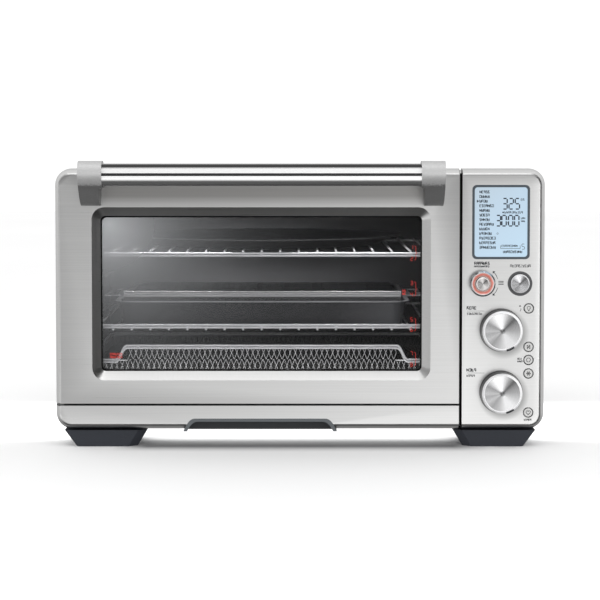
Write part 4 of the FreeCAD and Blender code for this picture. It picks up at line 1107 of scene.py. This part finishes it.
def studio_world():
    """White all round for the eye and for soft fill; reflections see a studio with a bright ceiling."""
    world = bpy.data.worlds.new("studio")
    bpy.context.scene.world = world
    world.use_nodes = True
    tree = world.node_tree
    tree.nodes.clear()

    def node(kind, inputs=None, **settings):
        return add_node(tree, kind, inputs, **settings)

    coords = node("ShaderNodeTexCoord").outputs["Generated"]
    split = node("ShaderNodeSeparateXYZ", {0: coords})

    def times(a, b):
        return node("ShaderNodeMath", {0: a, 1: b}, operation="MULTIPLY").outputs[0]

    def curve(axis, stops):
        """Grey level along one axis of the direction, from (direction, level) pairs.

        A ramp's colours stop at 1, so the levels are scaled down in it and up again after it."""
        span = {"Value": split.outputs[axis], "From Min": -1.0, "From Max": 1.0}
        ramp = node("ShaderNodeValToRGB", {"Fac": node("ShaderNodeMapRange", span).outputs["Result"]})
        band = ramp.color_ramp
        while len(band.elements) < len(stops):
            band.elements.new(0.5)
        for element, (direction, level) in zip(band.elements, stops):
            element.position = (direction + 1) / 2
            element.color = (*grey(level / HEADROOM), 1)
        bright = node("ShaderNodeRGBToBW", {0: ramp.outputs["Color"]})
        return times(bright.outputs[0], HEADROOM)

    front = times(curve("Z", SKY_HEIGHT), curve("X", SKY_SIDE))
    behind = times(curve("Y", SKY_BEHIND), curve("Z", SKY_BEHIND_HEIGHT))
    turn = node("ShaderNodeMapRange", {"Value": split.outputs["Y"], "From Min": -0.2, "From Max": 0.05})
    level = node("ShaderNodeMix", {0: turn.outputs["Result"], 2: front, 3: behind}, data_type="FLOAT")
    mirror = node("ShaderNodeBackground", {"Color": (1, 1, 1, 1), "Strength": level.outputs[0]})
    white = node("ShaderNodeBackground", {"Color": (1, 1, 1, 1), "Strength": FILL})
    glossy = node("ShaderNodeLightPath").outputs["Is Glossy Ray"]
    mixer = node("ShaderNodeMixShader", {0: glossy, 1: white.outputs[0], 2: mirror.outputs[0]})
    node("ShaderNodeOutputWorld", {"Surface": mixer.outputs[0]})


# Brightness of the studio as reflections see it, by the direction's height, side and depth
FILL = 1.1
HEADROOM = 2.0
SKY_HEIGHT = (
    (-1.0, 0.05), (-0.66, 0.08), (-0.46, 1.2), (-0.2, 1.5), (-0.06, 0.70), (0.10, 0.42), (0.35, 0.40),
    (0.6, 0.55), (0.85, 0.70), (1.0, 0.72),
)
SKY_SIDE = (
    (-1.0, 0.7), (-0.75, 0.85), (-0.45, 0.60), (-0.15, 0.57), (0.0, 0.82), (0.12, 1.26), (0.28, 1.50),
    (0.40, 0.7), (0.52, 0.12), (0.65, 0.02), (1.0, 0.01),
)
SKY_BEHIND = ((-1.0, 0.7), (0.0, 0.85), (0.5, 0.85), (0.8, 0.75), (1.0, 0.55))
SKY_BEHIND_HEIGHT = ((-1.0, 0.25), (-0.4, 0.5), (0.0, 0.95), (0.5, 1.05), (1.0, 1.1))


# What the inner lights fall on
WALLS = ("cavity_top", "cavity_left", "cavity_right", "cavity_back", "crumb_tray", "base_plate")
INSIDE = (
    "rack_guides", "upper_elements", "lower_elements", "upper_rack", "lower_rack", "basket_frame",
    "diamond_mesh", "mesh_floor", "pizza_pan", "roasting_pan", "broil_rack", "element_holders",
)


def only_on(light, names):
    """The light falls on the named objects alone."""
    group = bpy.data.collections.new(light.name + "_on")
    for name in names:
        group.objects.link(bpy.data.objects[name])
    light.light_linking.receiver_collection = group


def free_of_shadows(light):
    """Nothing blocks the light."""
    light.light_linking.blocker_collection = bpy.data.collections.new(light.name + "_blockers")


def wall_glow():
    """A soft pool of light on the cavity's back wall."""
    data = bpy.data.lights.new("wall_glow", "SPOT")
    data.energy = 190
    data.spot_size, data.spot_blend = math.radians(15), 1.0
    data.shadow_soft_size = 0.12
    only_on(hang("wall_glow", data, (-0.16, -1.5, 0.42), (-0.09, 0.19, 0.19)), WALLS)


def lights():
    area_light("key_low_right", (1.0, -1.6, 0.12), (0.2, -0.17, 0.10), (0.7, 0.5), 1.5)
    area_light("soft_top", (-0.2, -0.9, 2.0), (0, -0.05, 0.15), (1.6, 1.0), 5)
    inner = area_light("window_front", (-0.1, -1.7, 0.5), (-0.04, 0.0, 0.16), (2.4, 0.5), 52)
    only_on(inner, INSIDE)
    free_of_shadows(inner)
    wall_glow()
    bounce = area_light("floor_bounce", (0, 0.045, 0.0165), (0, 0.045, 0), (0.84, 0.32), 1.05)
    only_on(bounce, ("floor",))
    free_of_shadows(bounce)
    over = area_light("cavity_over", (-0.043, -0.14, 0.276), (-0.043, 0.06, 0.10), (0.34, 0.01), 0.8)
    under = area_light("cavity_under", (-0.043, -0.143, 0.07), (-0.043, 0.05, 0.13), (0.34, 0.008), 0.10)
    for lamp in (over, under, bounce):
        lamp.visible_camera = False


dress_cad_nodes()
display_contents()
panel_print()
icon_prints()
glass_print()
window_border()
knob_marks()
dial_glow()
mesh_basket()
camera()
floor()
studio_world()
lights()
bpy.context.scene.view_settings.view_transform = "Standard"
